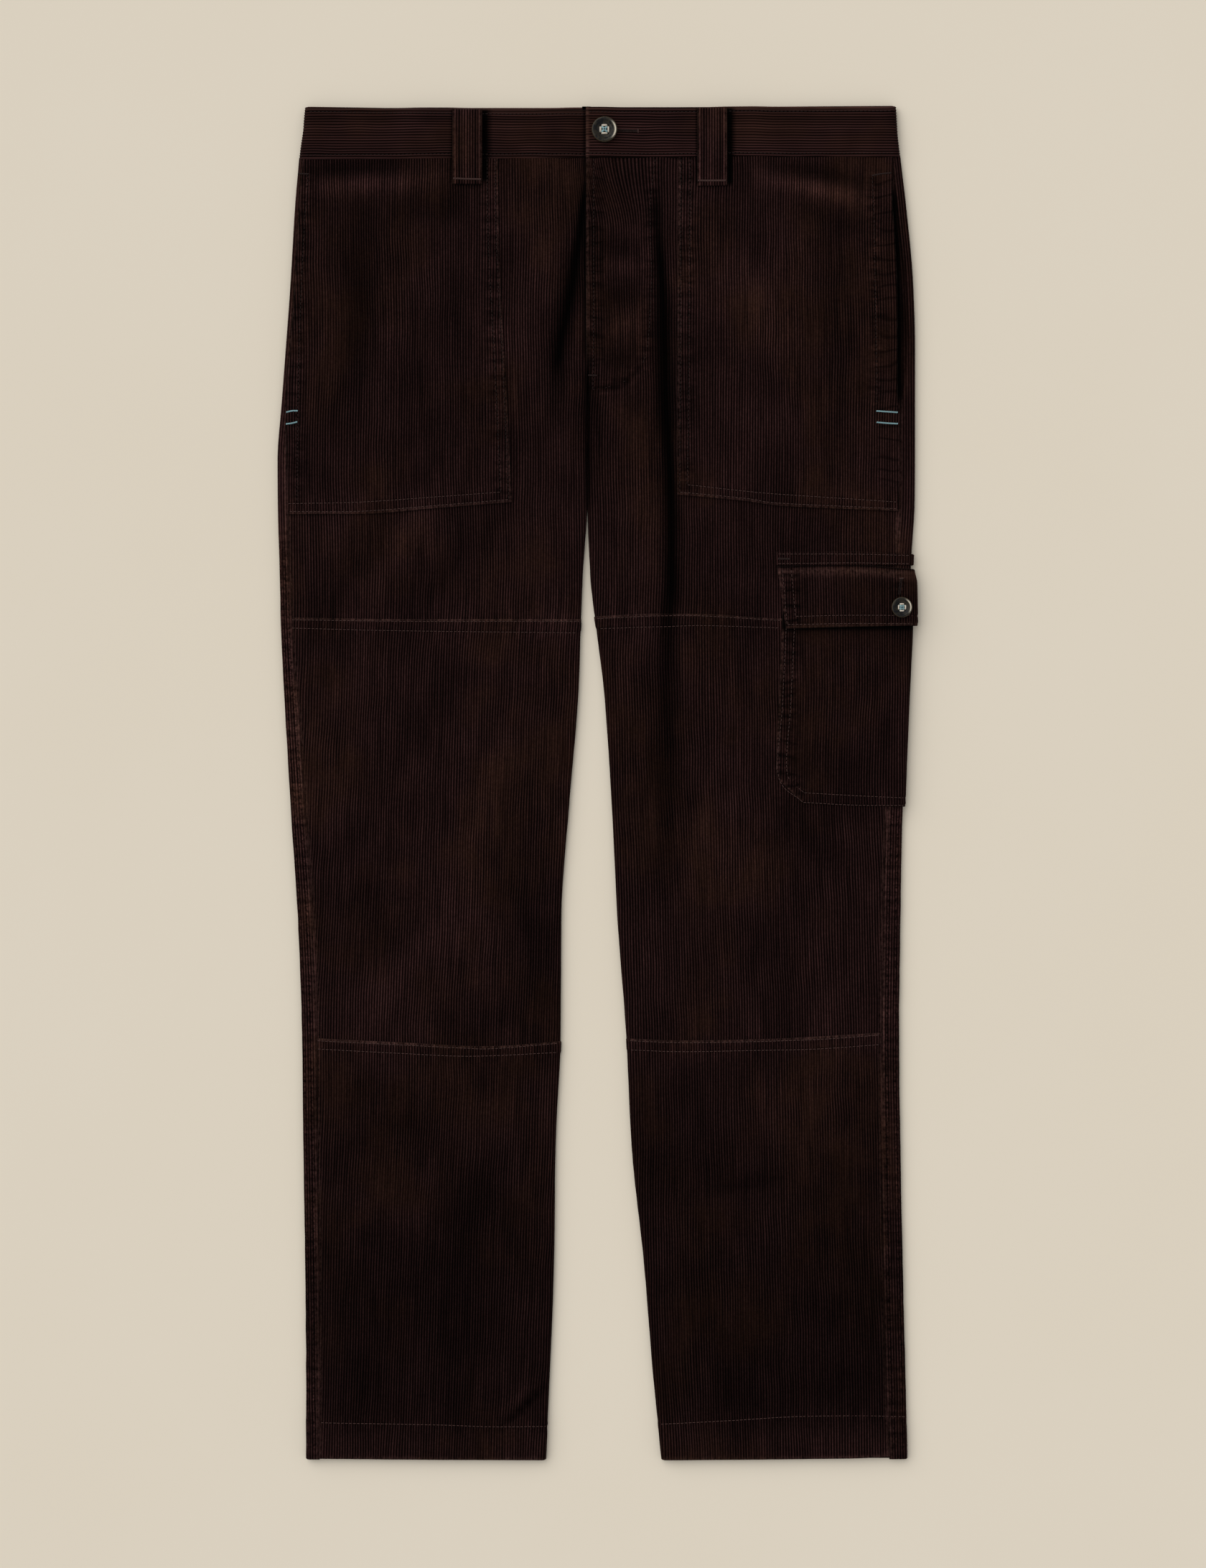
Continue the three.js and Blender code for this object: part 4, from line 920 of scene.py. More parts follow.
class ThreadSettings(PropertyGroup):
    brown: FloatVectorProperty(
        name="Seam thread", description="Colour of the topstitching",
        default=(0.060, 0.032, 0.028), min=0, max=1, size=3, subtype="COLOR",
    )
    teal: FloatVectorProperty(
        name="Bar tack thread", description="Colour of the bar tacks and the button thread",
        default=(0.22, 0.36, 0.39), min=0, max=1, size=3, subtype="COLOR",
    )
    stitch: FloatProperty(
        name="Stitch length", description="From one stitch to the next",
        default=0.0031, min=0.0015, max=0.006, subtype="DISTANCE", unit="LENGTH", precision=5,
    )
    width: FloatProperty(
        name="Thread width", description="Thickness of the thread",
        default=0.00048, min=0.0002, max=0.0012, subtype="DISTANCE", unit="LENGTH", precision=5,
    )


class StageSettings(PropertyGroup):
    floor: FloatVectorProperty(
        name="Floor colour", description="Colour of the plain surface under the trousers",
        default=(0.69, 0.63, 0.532), min=0, max=1, size=3, subtype="COLOR",
    )
    sun: FloatProperty(
        name="Key light", description="Strength of the soft light from the upper left",
        default=1.87, min=0, max=10,
    )
    sky: FloatProperty(
        name="Fill light", description="Strength of the light from all round", default=0.58, min=0, max=4
    )


# ---------------------------------------------------------------- materials
def add(tree, kind, inputs=None, **properties):
    """A node with its properties set and its inputs linked or given a value."""
    node = tree.nodes.new(kind)
    for key, value in properties.items():
        setattr(node, key, value)
    for key, value in (inputs or {}).items():
        if isinstance(value, bpy.types.NodeSocket):
            tree.links.new(value, node.inputs[key])
        else:
            node.inputs[key].default_value = value
    return node


def maths(tree, operation, *values):
    return add(tree, "ShaderNodeMath", dict(enumerate(values)), operation=operation).outputs[0]


def stretched(tree, u, v, across_size, along_size):
    """Cloth coordinates counted in patches of a size, in metres, across and along the wales."""
    x = maths(tree, "DIVIDE", u, across_size)
    y = maths(tree, "DIVIDE", v, along_size)
    return add(tree, "ShaderNodeCombineXYZ", {"X": x, "Y": y}).outputs[0]


def noise(tree, vector, detail=2.0, roughness=0.5):
    values = {"Vector": vector, "Scale": 1.0, "Detail": detail, "Roughness": roughness}
    return add(tree, "ShaderNodeTexNoise", values).outputs["Fac"]


def ranged(tree, value, a, b, c, d, kind="LINEAR"):
    names = ("Value", "From Min", "From Max", "To Min", "To Max")
    inputs = dict(zip(names, (value, a, b, c, d)))
    return add(tree, "ShaderNodeMapRange", inputs, interpolation_type=kind).outputs[0]


def blended(tree, factor, a, b, blend="MIX", kind="RGBA"):
    node = add(tree, "ShaderNodeMix", data_type=kind, blend_type=blend)
    first = 6 if kind == "RGBA" else 2
    for index, value in ((0, factor), (first, a), (first + 1, b)):
        if isinstance(value, bpy.types.NodeSocket):
            tree.links.new(value, node.inputs[index])
        else:
            node.inputs[index].default_value = value
    return node.outputs[2 if kind == "RGBA" else 0]


def corduroy_group():
    """Nap of the corduroy: narrow light ridges on darker ground, partly the pile's own colour and partly painted
    sheen and painted shade, brushed out in places, fine pile, rubbed edges, and beside the seams beads between
    the stitches, puckers and cross ripples, drawn with painted light and shade and, for the puckers and
    ripples, with bump. The tone mark brings in random tone with painted light and shade."""
    group = bpy.data.node_groups.new("corduroy nap", "ShaderNodeTree")
    for name, kind in (("Pitch", "Float"), ("Ridge", "Color"), ("Groove", "Color"), ("Worn", "Color")):
        group.interface.new_socket(name=name, in_out="INPUT", socket_type="NodeSocket" + kind)
    for name, kind in (("Color", "Color"), ("Roughness", "Float"), ("Normal", "Vector")):
        group.interface.new_socket(name=name, in_out="OUTPUT", socket_type="NodeSocket" + kind)
    given = add(group, "NodeGroupInput").outputs
    uv = add(group, "ShaderNodeUVMap", uv_map="Grain").outputs[0]
    place = add(group, "ShaderNodeSeparateXYZ", {0: uv})
    u, v = place.outputs["X"], place.outputs["Y"]
    marks = {
        name: add(group, "ShaderNodeAttribute", attribute_name=name).outputs["Fac"]
        for name in ("seam_across", "seam_along", "stitch", "tone", "warmth", "wear", "ripple")
    }
    times = lambda *values: functools.reduce(lambda a, b: maths(group, "MULTIPLY", a, b), values)
    turns = maths(group, "DIVIDE", u, given["Pitch"])
    near = maths(group, "ABSOLUTE", maths(group, "SUBTRACT", maths(group, "FRACT", maths(group, "ADD", turns, 0.5)), 0.5))
    ridge = ranged(group, near, 0.12, 0.44, 0.0, 1.0, "SMOOTHSTEP")
    pile = noise(group, stretched(group, u, v, 0.0004, 0.0011), 3.0, 0.6)
    tufts = noise(group, stretched(group, u, v, 0.0021, 0.0034), 2.0, 0.6)
    wales = noise(group, stretched(group, u, v, 0.0019, 0.055), 2.0, 0.6)
    patches = noise(group, stretched(group, u, v, 0.03, 0.05), 3.0, 0.6)
    beads = noise(group, stretched(group, u, v, 0.0017, 0.0021), 1.0, 0.5)
    puckers = noise(group, stretched(group, u, v, 0.03, 0.0045), 2.0)
    gathers = noise(group, stretched(group, u, v, 0.0042, 0.03), 2.0)
    drift = noise(group, stretched(group, u, v, 0.03, 0.02), 1.0)
    wave = maths(group, "FRACT", maths(group, "ADD", maths(group, "DIVIDE", v, 0.0118), maths(group, "MULTIPLY", drift, 1.6)))
    wave = maths(group, "ABSOLUTE", maths(group, "SUBTRACT", wave, 0.5))
    furrow = times(ranged(group, wave, 0.0, 0.17, 1.0, 0.0, "SMOOTHSTEP"), marks["ripple"], ranged(group, tufts, 0.3, 0.55, 0.2, 1.0))
    # Lighter ridges and darker grooves: partly the pile's own colour, partly painted sheen on the ridges and painted
    # shade in the grooves.
    color = blended(group, ridge, given["Groove"], given["Ridge"])
    rub = times(marks["wear"], ranged(group, tufts, 0.35, 0.6, 0.15, 1.0))
    color = blended(group, rub, color, given["Worn"])
    brushed = times(marks["warmth"], ranged(group, patches, 0.44, 0.6, 0.0, 0.6))
    color = blended(group, brushed, color, blended(group, 0.4, given["Groove"], given["Ridge"]))
    warm = times(marks["warmth"], ranged(group, patches, 0.35, 0.6, 0.3, 0.9))
    color = blended(group, warm, color, blended(group, 1.0, color, (1.1, 1.1, 0.8, 1), "MULTIPLY"))
    bright = times(
        marks["tone"],
        ranged(group, pile, 0.25, 0.75, 0.6, 1.45),
        ranged(group, wales, 0.3, 0.7, 0.62, 1.42),
        ranged(group, tufts, 0.25, 0.75, 0.72, 1.32),
        ranged(group, patches, 0.3, 0.7, 0.8, 1.2),
    )
    # Painted light on the beads between the stitches and on the puckers' crowns, painted shade in their dips.
    beaded = blended(group, marks["stitch"], 1.0, ranged(group, beads, 0.35, 0.62, 0.2, 1.45), kind="FLOAT")
    puckered = blended(group, marks["seam_along"], 1.0, ranged(group, puckers, 0.38, 0.62, 0.6, 1.35), kind="FLOAT")
    gathered = blended(group, marks["seam_across"], 1.0, ranged(group, gathers, 0.38, 0.62, 0.78, 1.35), kind="FLOAT")
    # Painted shade in the ripples' furrows.
    bright = times(bright, beaded, puckered, gathered, ranged(group, furrow, 0.0, 1.0, 1.0, 0.25))
    shaded = add(group, "ShaderNodeVectorMath", {0: color, "Scale": bright}, operation="SCALE").outputs[0]
    swell = maths(group, "ADD", times(marks["seam_along"], puckers), times(marks["seam_across"], gathers))
    swell = maths(group, "SUBTRACT", swell, times(furrow, 0.6))
    soft = add(group, "ShaderNodeBump", {"Height": swell, "Distance": 0.0022, "Strength": 0.9})
    rough = maths(group, "ADD", maths(group, "MULTIPLY", pile, 0.6), maths(group, "MULTIPLY", tufts, 0.5))
    fine = add(group, "ShaderNodeBump", {"Height": rough, "Distance": 0.0003, "Strength": 0.7, "Normal": soft.outputs[0]})
    add(group, "NodeGroupOutput", {"Color": shaded, "Roughness": ranged(group, pile, 0, 1, 0.85, 1.0), "Normal": fine.outputs[0]})
    return group


def corduroy_material(name, group, gain=1.0):
    """Corduroy in the cloth's colours, times a gain for pieces whose nap runs another way: the lighter copy is
    painted light for how their pile catches the light.
    """
    settings = bpy.context.scene.trousers_cloth
    material = bpy.data.materials.new(name)
    material.use_nodes = True
    tree = material.node_tree
    shader = tree.nodes["Principled BSDF"]
    nap = add(tree, "ShaderNodeGroup", node_tree=group)
    nap.inputs["Pitch"].default_value = settings.wale_pitch
    for socket in ("ridge", "groove", "worn"):
        value = [min(1.0, gain * c) for c in getattr(settings, socket)]
        nap.inputs[socket.capitalize()].default_value = (*value, 1)
    tree.links.new(nap.outputs["Color"], shader.inputs["Base Color"])
    tree.links.new(nap.outputs["Roughness"], shader.inputs["Roughness"])
    tree.links.new(nap.outputs["Normal"], shader.inputs["Normal"])
    shader.inputs["Specular IOR Level"].default_value = 0.015
    shader.inputs["Sheen Weight"].default_value = 0.02
    shader.inputs["Sheen Roughness"].default_value = 0.45
    shader.inputs["Sheen Tint"].default_value = (1.0, 0.72, 0.66, 1)
    return material


def thread_material(name, color):
    """Sewing thread: two plies twisted together, with a little sheen."""
    material = bpy.data.materials.new(name)
    material.use_nodes = True
    tree = material.node_tree
    shader = tree.nodes["Principled BSDF"]
    place = add(tree, "ShaderNodeSeparateXYZ", {0: add(tree, "ShaderNodeUVMap", uv_map="Grain").outputs[0]})
    around = maths(tree, "MULTIPLY", place.outputs["X"], 2 * np.pi * 1000)
    along = maths(tree, "MULTIPLY", place.outputs["Y"], 2 * np.pi / 0.0011)
    twist = maths(tree, "SINE", maths(tree, "ADD", maths(tree, "MULTIPLY", around, 2.0), along))
    spot = noise(tree, add(tree, "ShaderNodeTexCoord").outputs["Object"], 2.0)
    # The plies are drawn lighter on their crowns and darker between them, painted light and shade besides the bump.
    bright = maths(tree, "MULTIPLY", ranged(tree, twist, -1, 1, 0.7, 1.2), ranged(tree, spot, 0.3, 0.7, 0.85, 1.15))
    base = add(tree, "ShaderNodeVectorMath", {0: color, "Scale": bright}, operation="SCALE")
    tree.links.new(base.outputs[0], shader.inputs["Base Color"])
    bump = add(tree, "ShaderNodeBump", {"Height": twist, "Distance": 0.00008, "Strength": 0.6})
    tree.links.new(bump.outputs[0], shader.inputs["Normal"])
    shader.inputs["Roughness"].default_value = 0.62
    shader.inputs["Specular IOR Level"].default_value = 0.1
    shader.inputs["Sheen Weight"].default_value = 0.02
    return material


def horn_material():
    """Dark polished horn with olive clouds, a paler rim, partly the horn's own colour and partly a painted glint, and
    one pale streak along it, a painted highlight.
    """
    material = bpy.data.materials.new("polished_horn")
    material.use_nodes = True
    tree = material.node_tree
    shader = tree.nodes["Principled BSDF"]
    place = add(tree, "ShaderNodeTexCoord").outputs["Object"]
    values = {"Vector": place, "Scale": 170.0, "Detail": 3.0, "Distortion": 1.6}
    cloud = add(tree, "ShaderNodeTexNoise", values).outputs["Fac"]
    rim, pale = (add(tree, "ShaderNodeAttribute", attribute_name=name).outputs["Fac"] for name in ("rim", "pale"))
    color = blended(tree, ranged(tree, cloud, 0.42, 0.62, 0.0, 1.0, "SMOOTHSTEP"), (0.003, 0.003, 0.004, 1), (0.018, 0.015, 0.010, 1))
    # Paler rim: partly the horn's own colour, partly a painted glint.
    color = blended(tree, rim, color, (0.034, 0.026, 0.016, 1))
    # Painted highlight: the pale streak on the rim.
    color = blended(tree, pale, color, (0.62, 0.56, 0.45, 1))
    tree.links.new(color, shader.inputs["Base Color"])
    tree.links.new(ranged(tree, cloud, 0.3, 0.7, 0.25, 0.35), shader.inputs["Roughness"])
    shader.inputs["Specular IOR Level"].default_value = 0.12
    shader.inputs["Coat Weight"].default_value = 0.04
    shader.inputs["Coat Roughness"].default_value = 0.12
    return material


def floor_material():
    """A plain pale surface with the faintest unevenness."""
    settings = bpy.context.scene.trousers_stage
    material = bpy.data.materials.new("floor")
    material.use_nodes = True
    tree = material.node_tree
    shader = tree.nodes["Principled BSDF"]
    values = {"Vector": add(tree, "ShaderNodeTexCoord").outputs["Object"], "Scale": 3.0, "Detail": 6.0}
    cloud = add(tree, "ShaderNodeTexNoise", values).outputs["Fac"]
    base = tuple(settings.floor)
    warm = tuple(c * k for c, k in zip(base, (0.99, 0.985, 0.975)))
    color = blended(tree, ranged(tree, cloud, 0.35, 0.65, 0.0, 1.0), (*base, 1), (*warm, 1))
    tree.links.new(color, shader.inputs["Base Color"])
    shader.inputs["Roughness"].default_value = 0.9
    shader.inputs["Specular IOR Level"].default_value = 0.1
    return material


class TROUSERS_OT_materials(Operator):
    """Make the corduroy, thread and horn materials"""

    bl_idname = "trousers.materials"
    bl_label = "Materials"

    def execute(self, context):
        group = corduroy_group()
        corduroy_material("brown_corduroy", group)
        # A lighter copy for the band and loops, painted light for their nap running across.
        corduroy_material("band_corduroy", group, 1.35)
        threads = context.scene.trousers_thread
        thread_material("brown_thread", tuple(threads.brown))
        thread_material("teal_thread", tuple(threads.teal))
        thread_material("dark_thread", tuple(0.35 * c for c in threads.brown))
        thread_material("cream_thread", (0.62, 0.55, 0.46))
        horn_material()
        return {"FINISHED"}


# ---------------------------------------------------------------- the cloth pieces
LEAN = {"right": {"hip": 0.0, "thigh": 0.035, "shin": 0.03}, "left": {"hip": 0.0, "thigh": -0.02, "shin": -0.02}}


def lean_of(side, part):
    """How far a wale has moved across by height y: straight down the hip, then with the leg."""
    start = {"hip": 488.0, "thigh": 128.0, "shin": -200.0}[part]
    return lambda y: LEAN[side][part] * (y - start)


def lap_raise(side, part):
    """The lower piece's top edge is raised by its seam allowance, and the upper piece dips to meet it."""

    def raise_by(x, y):
        rise = 0 * x
        if part in ("thigh", "shin"):
            edge = across(f"{side}_{'thigh' if part == 'thigh' else 'knee'}")(x)
            rise = rise + 0.55 * smooth((10 - (edge - y)) / 2.5)
        if part in ("hip", "thigh"):
            edge = across(f"{side}_{'thigh' if part == 'hip' else 'knee'}")(x)
            rise = rise - 0.6 * np.exp(-(((y - edge) / 2.6) ** 2))
        if part == "shin":
            rise = rise + 0.35 * smooth((-497 - y) / 3)
        seam = np.abs(x - side_seam(side, y))
        return rise - 0.7 * np.exp(-((seam / 2.2) ** 2))

    return raise_by


def lap_wear(side, part):
    """Pile is rubbed along the raised edge of a seam, along the hem and beside the side seam. Along the left front's
    lap edge the lighter line is partly wear and partly a painted highlight.
    """

    def wear(x, y):
        worn = 0.5 * np.exp(-(((np.abs(x - side_seam(side, y)) - 1.0) / 0.9) ** 2))
        if side == "left" and part == "hip":
            worn = np.maximum(worn, 0.9 * lapped(y) * np.exp(-(((x - LAP_EDGE - 0.6) / 1.1) ** 2)))
        if part in ("thigh", "shin"):
            edge = across(f"{side}_{'thigh' if part == 'thigh' else 'knee'}")(x)
            worn = np.maximum(worn, 0.75 * np.exp(-(((edge - y - 0.4) / 1.1) ** 2)))
        if part == "shin":
            hem = across(f"{side}_hem")(x)
            worn = np.maximum(worn, 0.5 * np.exp(-(((y - hem) / 1.6) ** 2)))
        return worn

    return wear


def fly_ripple(x, y):
    """Cross ripples beside the fly's lap edge, drawn as bump with painted shade in their furrows."""
    return 0.6 * smooth((y - 318) / 10) * smooth((8 - x) / 5)


def front_lines(side, part):
    names = {
        "hip": [f"{side}_thigh_top", "fly_edge", "fly_curve"] if side == "left" else [f"{side}_thigh_top"],
        "thigh": [f"{side}_thigh_top", f"{side}_thigh_low"],
        "shin": [f"{side}_knee_top", f"{side}_knee_low", f"{side}_hem_line"],
    }
    return names[part]


def front_piece(side, part):
    reach = lambda y: front_reach(side, y)
    guides = {
        "hip": [offset_line(f"{side}_thigh", 0.1), level(300.0), offset_line("band", -0.1)],
        "thigh": [offset_line(f"{side}_knee", 0.1), offset_line(f"{side}_thigh", -8.6), offset_line(f"{side}_thigh", -0.1)],
        "shin": [across(f"{side}_hem"), level(-498.0), offset_line(f"{side}_knee", -8.6), offset_line(f"{side}_knee", -0.1)],
    }[part]
    lean = lean_of(side, part)
    step = {"hip": 4.8, "thigh": 5.8, "shin": 5.8}[part]
    s, y = cloth_grid(reach, guides, lean, step)
    return cloth(
        f"corduroy_front_{side}_{part}", front_surface(side), s, y, straight_grain(lean),
        lines=front_lines(side, part), raise_by=lap_raise(side, part), tone=lambda x, y: pile_tone(side, x, y),
        wear=lap_wear(side, part), ripple=fly_ripple if (side, part) == ("left", "hip") else None, hem_turn=27.0 if part == "shin" else 6.0, thick=1.3,
    )


FRONT_CUTS = {
    ("right", "hip"): ((0.262, 0.385), 0.094), ("left", "hip"): ((0.27, 0.385), 0.098),
    ("right", "thigh"): ((0.25, 0.355), 0.08), ("left", "thigh"): ((0.255, 0.355), 0.082),
    ("right", "shin"): ((0.215, 0.38), 0.078), ("left", "shin"): ((0.22, 0.38), 0.08),
}


class TROUSERS_OT_fronts(Operator):
    """Make the six front panels: hip, thigh and shin of each leg"""

    bl_idname = "trousers.fronts"
    bl_label = "Fronts"

    def execute(self, context):
        for (side, part), (flat, area) in FRONT_CUTS.items():
            piece = front_piece(side, part)
            declare(piece, f"front_{side}_{part}")
        return {"FINISHED"}


def back_piece(side):
    """The back: under the leg, round its outer edge and up to the side seam. Underneath, where it lies on
    the surface, it has two columns a wale."""
    sign = SIDES[side]

    def reach(y):
        seam = side_seam(side, y) + sign * 0.15
        start = bend_start(side, y, back_roll(y), inner_outline(side, y))
        end = under_place(side, start, y) + sign * BEND_LENGTH
        return (end, seam) if side == "right" else (seam, end)

    lean = lambda y: roll_end(side, y)
    pitch = context_pitch()
    ys = np.linspace(-527, 488, 60)
    low, high = reach(ys)
    first, last = np.floor((low - lean(ys)).min() / pitch), np.ceil((high - lean(ys)).max() / pitch)
    columns = np.arange(first, last + 1)
    columns = columns[(columns % 2 == 0) | (sign * columns * pitch < 12)] * pitch
    guide_x = np.clip(columns, -235, 235) * 0 + sign * 150
    y = spread_rows([across(f"{side}_hem"), level(-498.0), offset_line("band", -0.1)], guide_x, 10.0)
    low, high = reach(y)
    s = np.clip(columns[None, :] + lean(y), low, high)

    def raise_by(x, y):
        return -0.5 * np.exp(-(((x - side_seam(side, y)) / 1.6) ** 2)) - 1.6 * mouth(side, x, y)

    # Random tone, darker toward the hems, each side made lighter and darker by heights listed for it, and painted
    # shade in the left pocket's mouth.
    def tone(x, y):
        shin = np.interp(y, [-520, -470, -400, -300, -200], [0.8, 0.75, 0.85, 0.95, 1.0])
        uneven = 1 + 0.22 * patchy(x, 0.4 * y, 9, 55) + 0.14 * patchy(x, 0.55 * y, 36, 51)
        upper = mix(1, 0.92, smooth((y - 286) / 14)) if side == "left" else 1.45 + 0.3 * smooth((300 - y) / 20)
        side_and_height_tone = np.interp(y, [-480, -200, -120, 60, 120], {"left": [1.12, 1.2, 1.4, 1.15, 1.1], "right": [0.74, 0.74, 0.95, 0.95, 1]}[side])
        return shin * uneven * upper * side_and_height_tone * (1 - 0.95 * mouth(side, x, y))

    return cloth(
        f"corduroy_back_{side}", wrapped_surface(side, is_back=True), s, y, lambda s, y: s - lean(y),
        lines=[f"{side}_out_1", f"{side}_out_2"], raise_by=raise_by, tone=tone,
        wear=lambda x, y: 0.4 * np.exp(-(((np.abs(x - side_seam(side, y)) - 1.4) / 1.1) ** 2)),
        hem_turn=27.0, thick=1.3,
    )


def context_pitch():
    return bpy.context.scene.trousers_cloth.wale_pitch / MM / 4


class TROUSERS_OT_backs(Operator):
    """Make the two backs, which lie on the surface and come round to the side seams"""

    bl_idname = "trousers.backs"
    bl_label = "Backs"

    def execute(self, context):
        for side in SIDES:
            declare(back_piece(side), f"back_{side}")
        return {"FINISHED"}


def pocket_piece(side):
    """A patch pocket on the hip, from its inner edge to the side seam."""
    sign = SIDES[side]

    def reach(y):
        seam, edge = side_seam(side, y) - sign * 0.15, pocket_edge(side, y)
        if side == "left":
            seam = seam - mouth_edge(y)
        return (seam, edge) if side == "right" else (edge, seam)

    lean = lean_of(side, "hip")
    s, y = cloth_grid(reach, [across(f"{side}_pocket"), offset_line(f"{side}_pocket", 9.0), offset_line("band", -0.1)], lean, 4.4)

    def wear(x, y):
        edge = np.exp(-(((np.abs(x - pocket_edge(side, y)) - 0.3) / 0.9) ** 2))
        hem = np.exp(-(((y - across(f"{side}_pocket")(x) - 0.3) / 1.0) ** 2))
        return 0.5 * np.maximum(edge, hem)

    # Ripples beside the placket, drawn as bump with painted shade in their furrows.
    def ripple(x, y):
        line = LINES[f"{side}_placket"]
        edge = np.interp(-y, [-p[1] for p in line], [p[0] for p in line])
        return (0.7 if side == "left" else 0.5) * smooth(sign * (x - edge) / 3) * smooth((474 - y) / 3) * smooth((y - 222) / 20)

    names = [f"{side}_pocket_side", f"{side}_pocket_side_2", f"{side}_pocket_low", f"{side}_pocket_low_2"]
    names.append(f"{side}_placket")
    return cloth(
        f"corduroy_patch_pocket_{side}", pocket_surface(side), s, y, straight_grain(lean), lines=names,
        tone=lambda x, y: pile_tone(side, x, y), wear=wear, ripple=ripple, thick=1.5,
    )


class TROUSERS_OT_patch_pockets(Operator):
    """Make the two patch pockets"""

    bl_idname = "trousers.patch_pockets"
    bl_label = "Patch Pockets"

    def execute(self, context):
        for side in SIDES:
            declare(pocket_piece(side), f"patch_pocket_{side}")
        return {"FINISHED"}


# y, shown edge, hidden edge of the cargo pocket's layers
BAG_EDGE = np.array([[-18, 161, 206], [-13.5, 158.4, 203], [5, 139.4, 187], [156, 145.6, 187]])
FLAP_EDGE = np.array([[120, 147.3, 188], [122, 147.1, 187.6], [168.7, 140.6, 182]])
STRIP_EDGE = np.array([[170.4, 139.1, 182], [179.8, 139.1, 182]])


def wrapped_piece(name, edges, guides, away, stand, lines, step, **more):
    """A layer of the cargo pocket, from its edge that shows round the side to its hidden edge."""

    def reach(y):
        shown = np.interp(y, edges[:, 0], edges[:, 1])
        hidden = np.interp(y, edges[:, 0], edges[:, 2])
        return shown, under_place("left", hidden, y, away(y))

    lean = lambda y: 0 * y
    pitch = context_pitch()
    ys = np.linspace(float(guides[0](200.0)), float(guides[-1](200.0)), 30)
    low, high = reach(ys)
    columns = np.arange(np.floor(low.min() / pitch) - 4, np.ceil(high.max() / pitch) + 5) * pitch
    y = spread_rows(guides, np.clip(columns, 130, 250), step)
    low, high = reach(y)
    s = np.clip(columns[None, :] + wander(columns[None, :], y), low, high)
    return cloth(name, wrapped_surface("left", away, stand), s, y, straight_grain(lean), lines=lines, **more)


class TROUSERS_OT_cargo_pocket(Operator):
    """Make the cargo pocket's bag, its flap and the strip over it"""

    bl_idname = "trousers.cargo_pocket"
    bl_label = "Cargo Pocket"

    def execute(self, context):
        one_layer = lambda y: LAYER + 0 * y
        flat = lambda y: 0 * y
        bag_low = lambda x: BAG_BOTTOM + mix(2.2, -1.2, np.clip((x - 158) / 82, 0, 1))
        bag = wrapped_piece(
            "corduroy_cargo_pocket", BAG_EDGE, [bag_low, lambda x: bag_low(x) + 8.5, level(FLAP_BOTTOM - 1), level(BAG_TOP)],
            one_layer, flat, ["bag_side", "bag_side_2", "bag_low", "bag_low_2"], 4.8, thick=1.5,
            wear=lambda x, y: 0.8 * np.exp(-(((x - np.interp(y, BAG_EDGE[:, 0], BAG_EDGE[:, 1]) - 0.3) / 1.0) ** 2)),
            # Painted shadow on the bag under the flap's lower edge.
            tone=lambda x, y: 0.9 * pile_tone("left", x, y) * (1 - 0.9 * smooth((y - FLAP_BOTTOM + 6.5) / 5)),
            ripple=lambda x, y: 0.7 * smooth((158 - x) / 5),
        )
        declare(bag, "cargo_pocket")
        flap_low = lambda x: FLAP_BOTTOM + mix(-1.2, 1, np.clip((x - 148) / 100, 0, 1))
        flap_top = lambda x: FLAP_TOP - 1 + smooth((x - 142) / 30) - 3 * smooth((x - 200) / 50)
        low_share = lambda y: np.sqrt(1 - np.clip((y - FLAP_BOTTOM) / (FLAP_TOP - FLAP_BOTTOM), 0, 1))
        flap = wrapped_piece(
            "corduroy_cargo_flap", FLAP_EDGE, [flap_low, lambda x: flap_low(x) + 9, flap_top],
            lambda y: LAYER * (1 + flap_raised(y)), lambda y: 1.9 * low_share(y),
            ["flap_low", "flap_low_2", "flap_side", "flap_side_2", "cargo_buttonhole"], 3.5, thick=1.7,
            # Wear along the flap's lower and side edges; the lighter band along its rolled top is a painted
            # highlight.
            wear=lambda x, y: 0.6 * np.maximum(
                np.exp(-(((y - flap_low(x) - 0.5) / 1.2) ** 2)),
                np.exp(-(((x - np.interp(y, FLAP_EDGE[:, 0], FLAP_EDGE[:, 1]) - 0.4) / 1.1) ** 2)),
            ) + 0.45 * np.exp(-(((y - flap_top(x) + 4) / 2.6) ** 2)),
            # Painted highlight along the flap's rolled top, and painted shadow just under the strip.
            tone=lambda x, y: 0.86 * pile_tone("left", x, y) * (1 + 0.7 * np.exp(-(((y - flap_top(x) + 5) / 4) ** 2)))
            * (1 - 0.7 * smooth((y - flap_top(x) + 1.6) / 1.2)),
            ripple=lambda x, y: smooth((160 - x) / 5),
        )
        declare(flap, "cargo_flap")
        strip_top = lambda x: STRIP_TOP - 1.8 * smooth((x - 200) / 50)
        strip = wrapped_piece(
            "corduroy_cargo_flap_strip", STRIP_EDGE, [level(STRIP_BOTTOM), strip_top], one_layer, flat,
            ["strip_low", "strip_high"], 2.0, thick=1.5, turn=4.0,
        )
        declare(strip, "cargo_flap_strip")
        return {"FINISHED"}


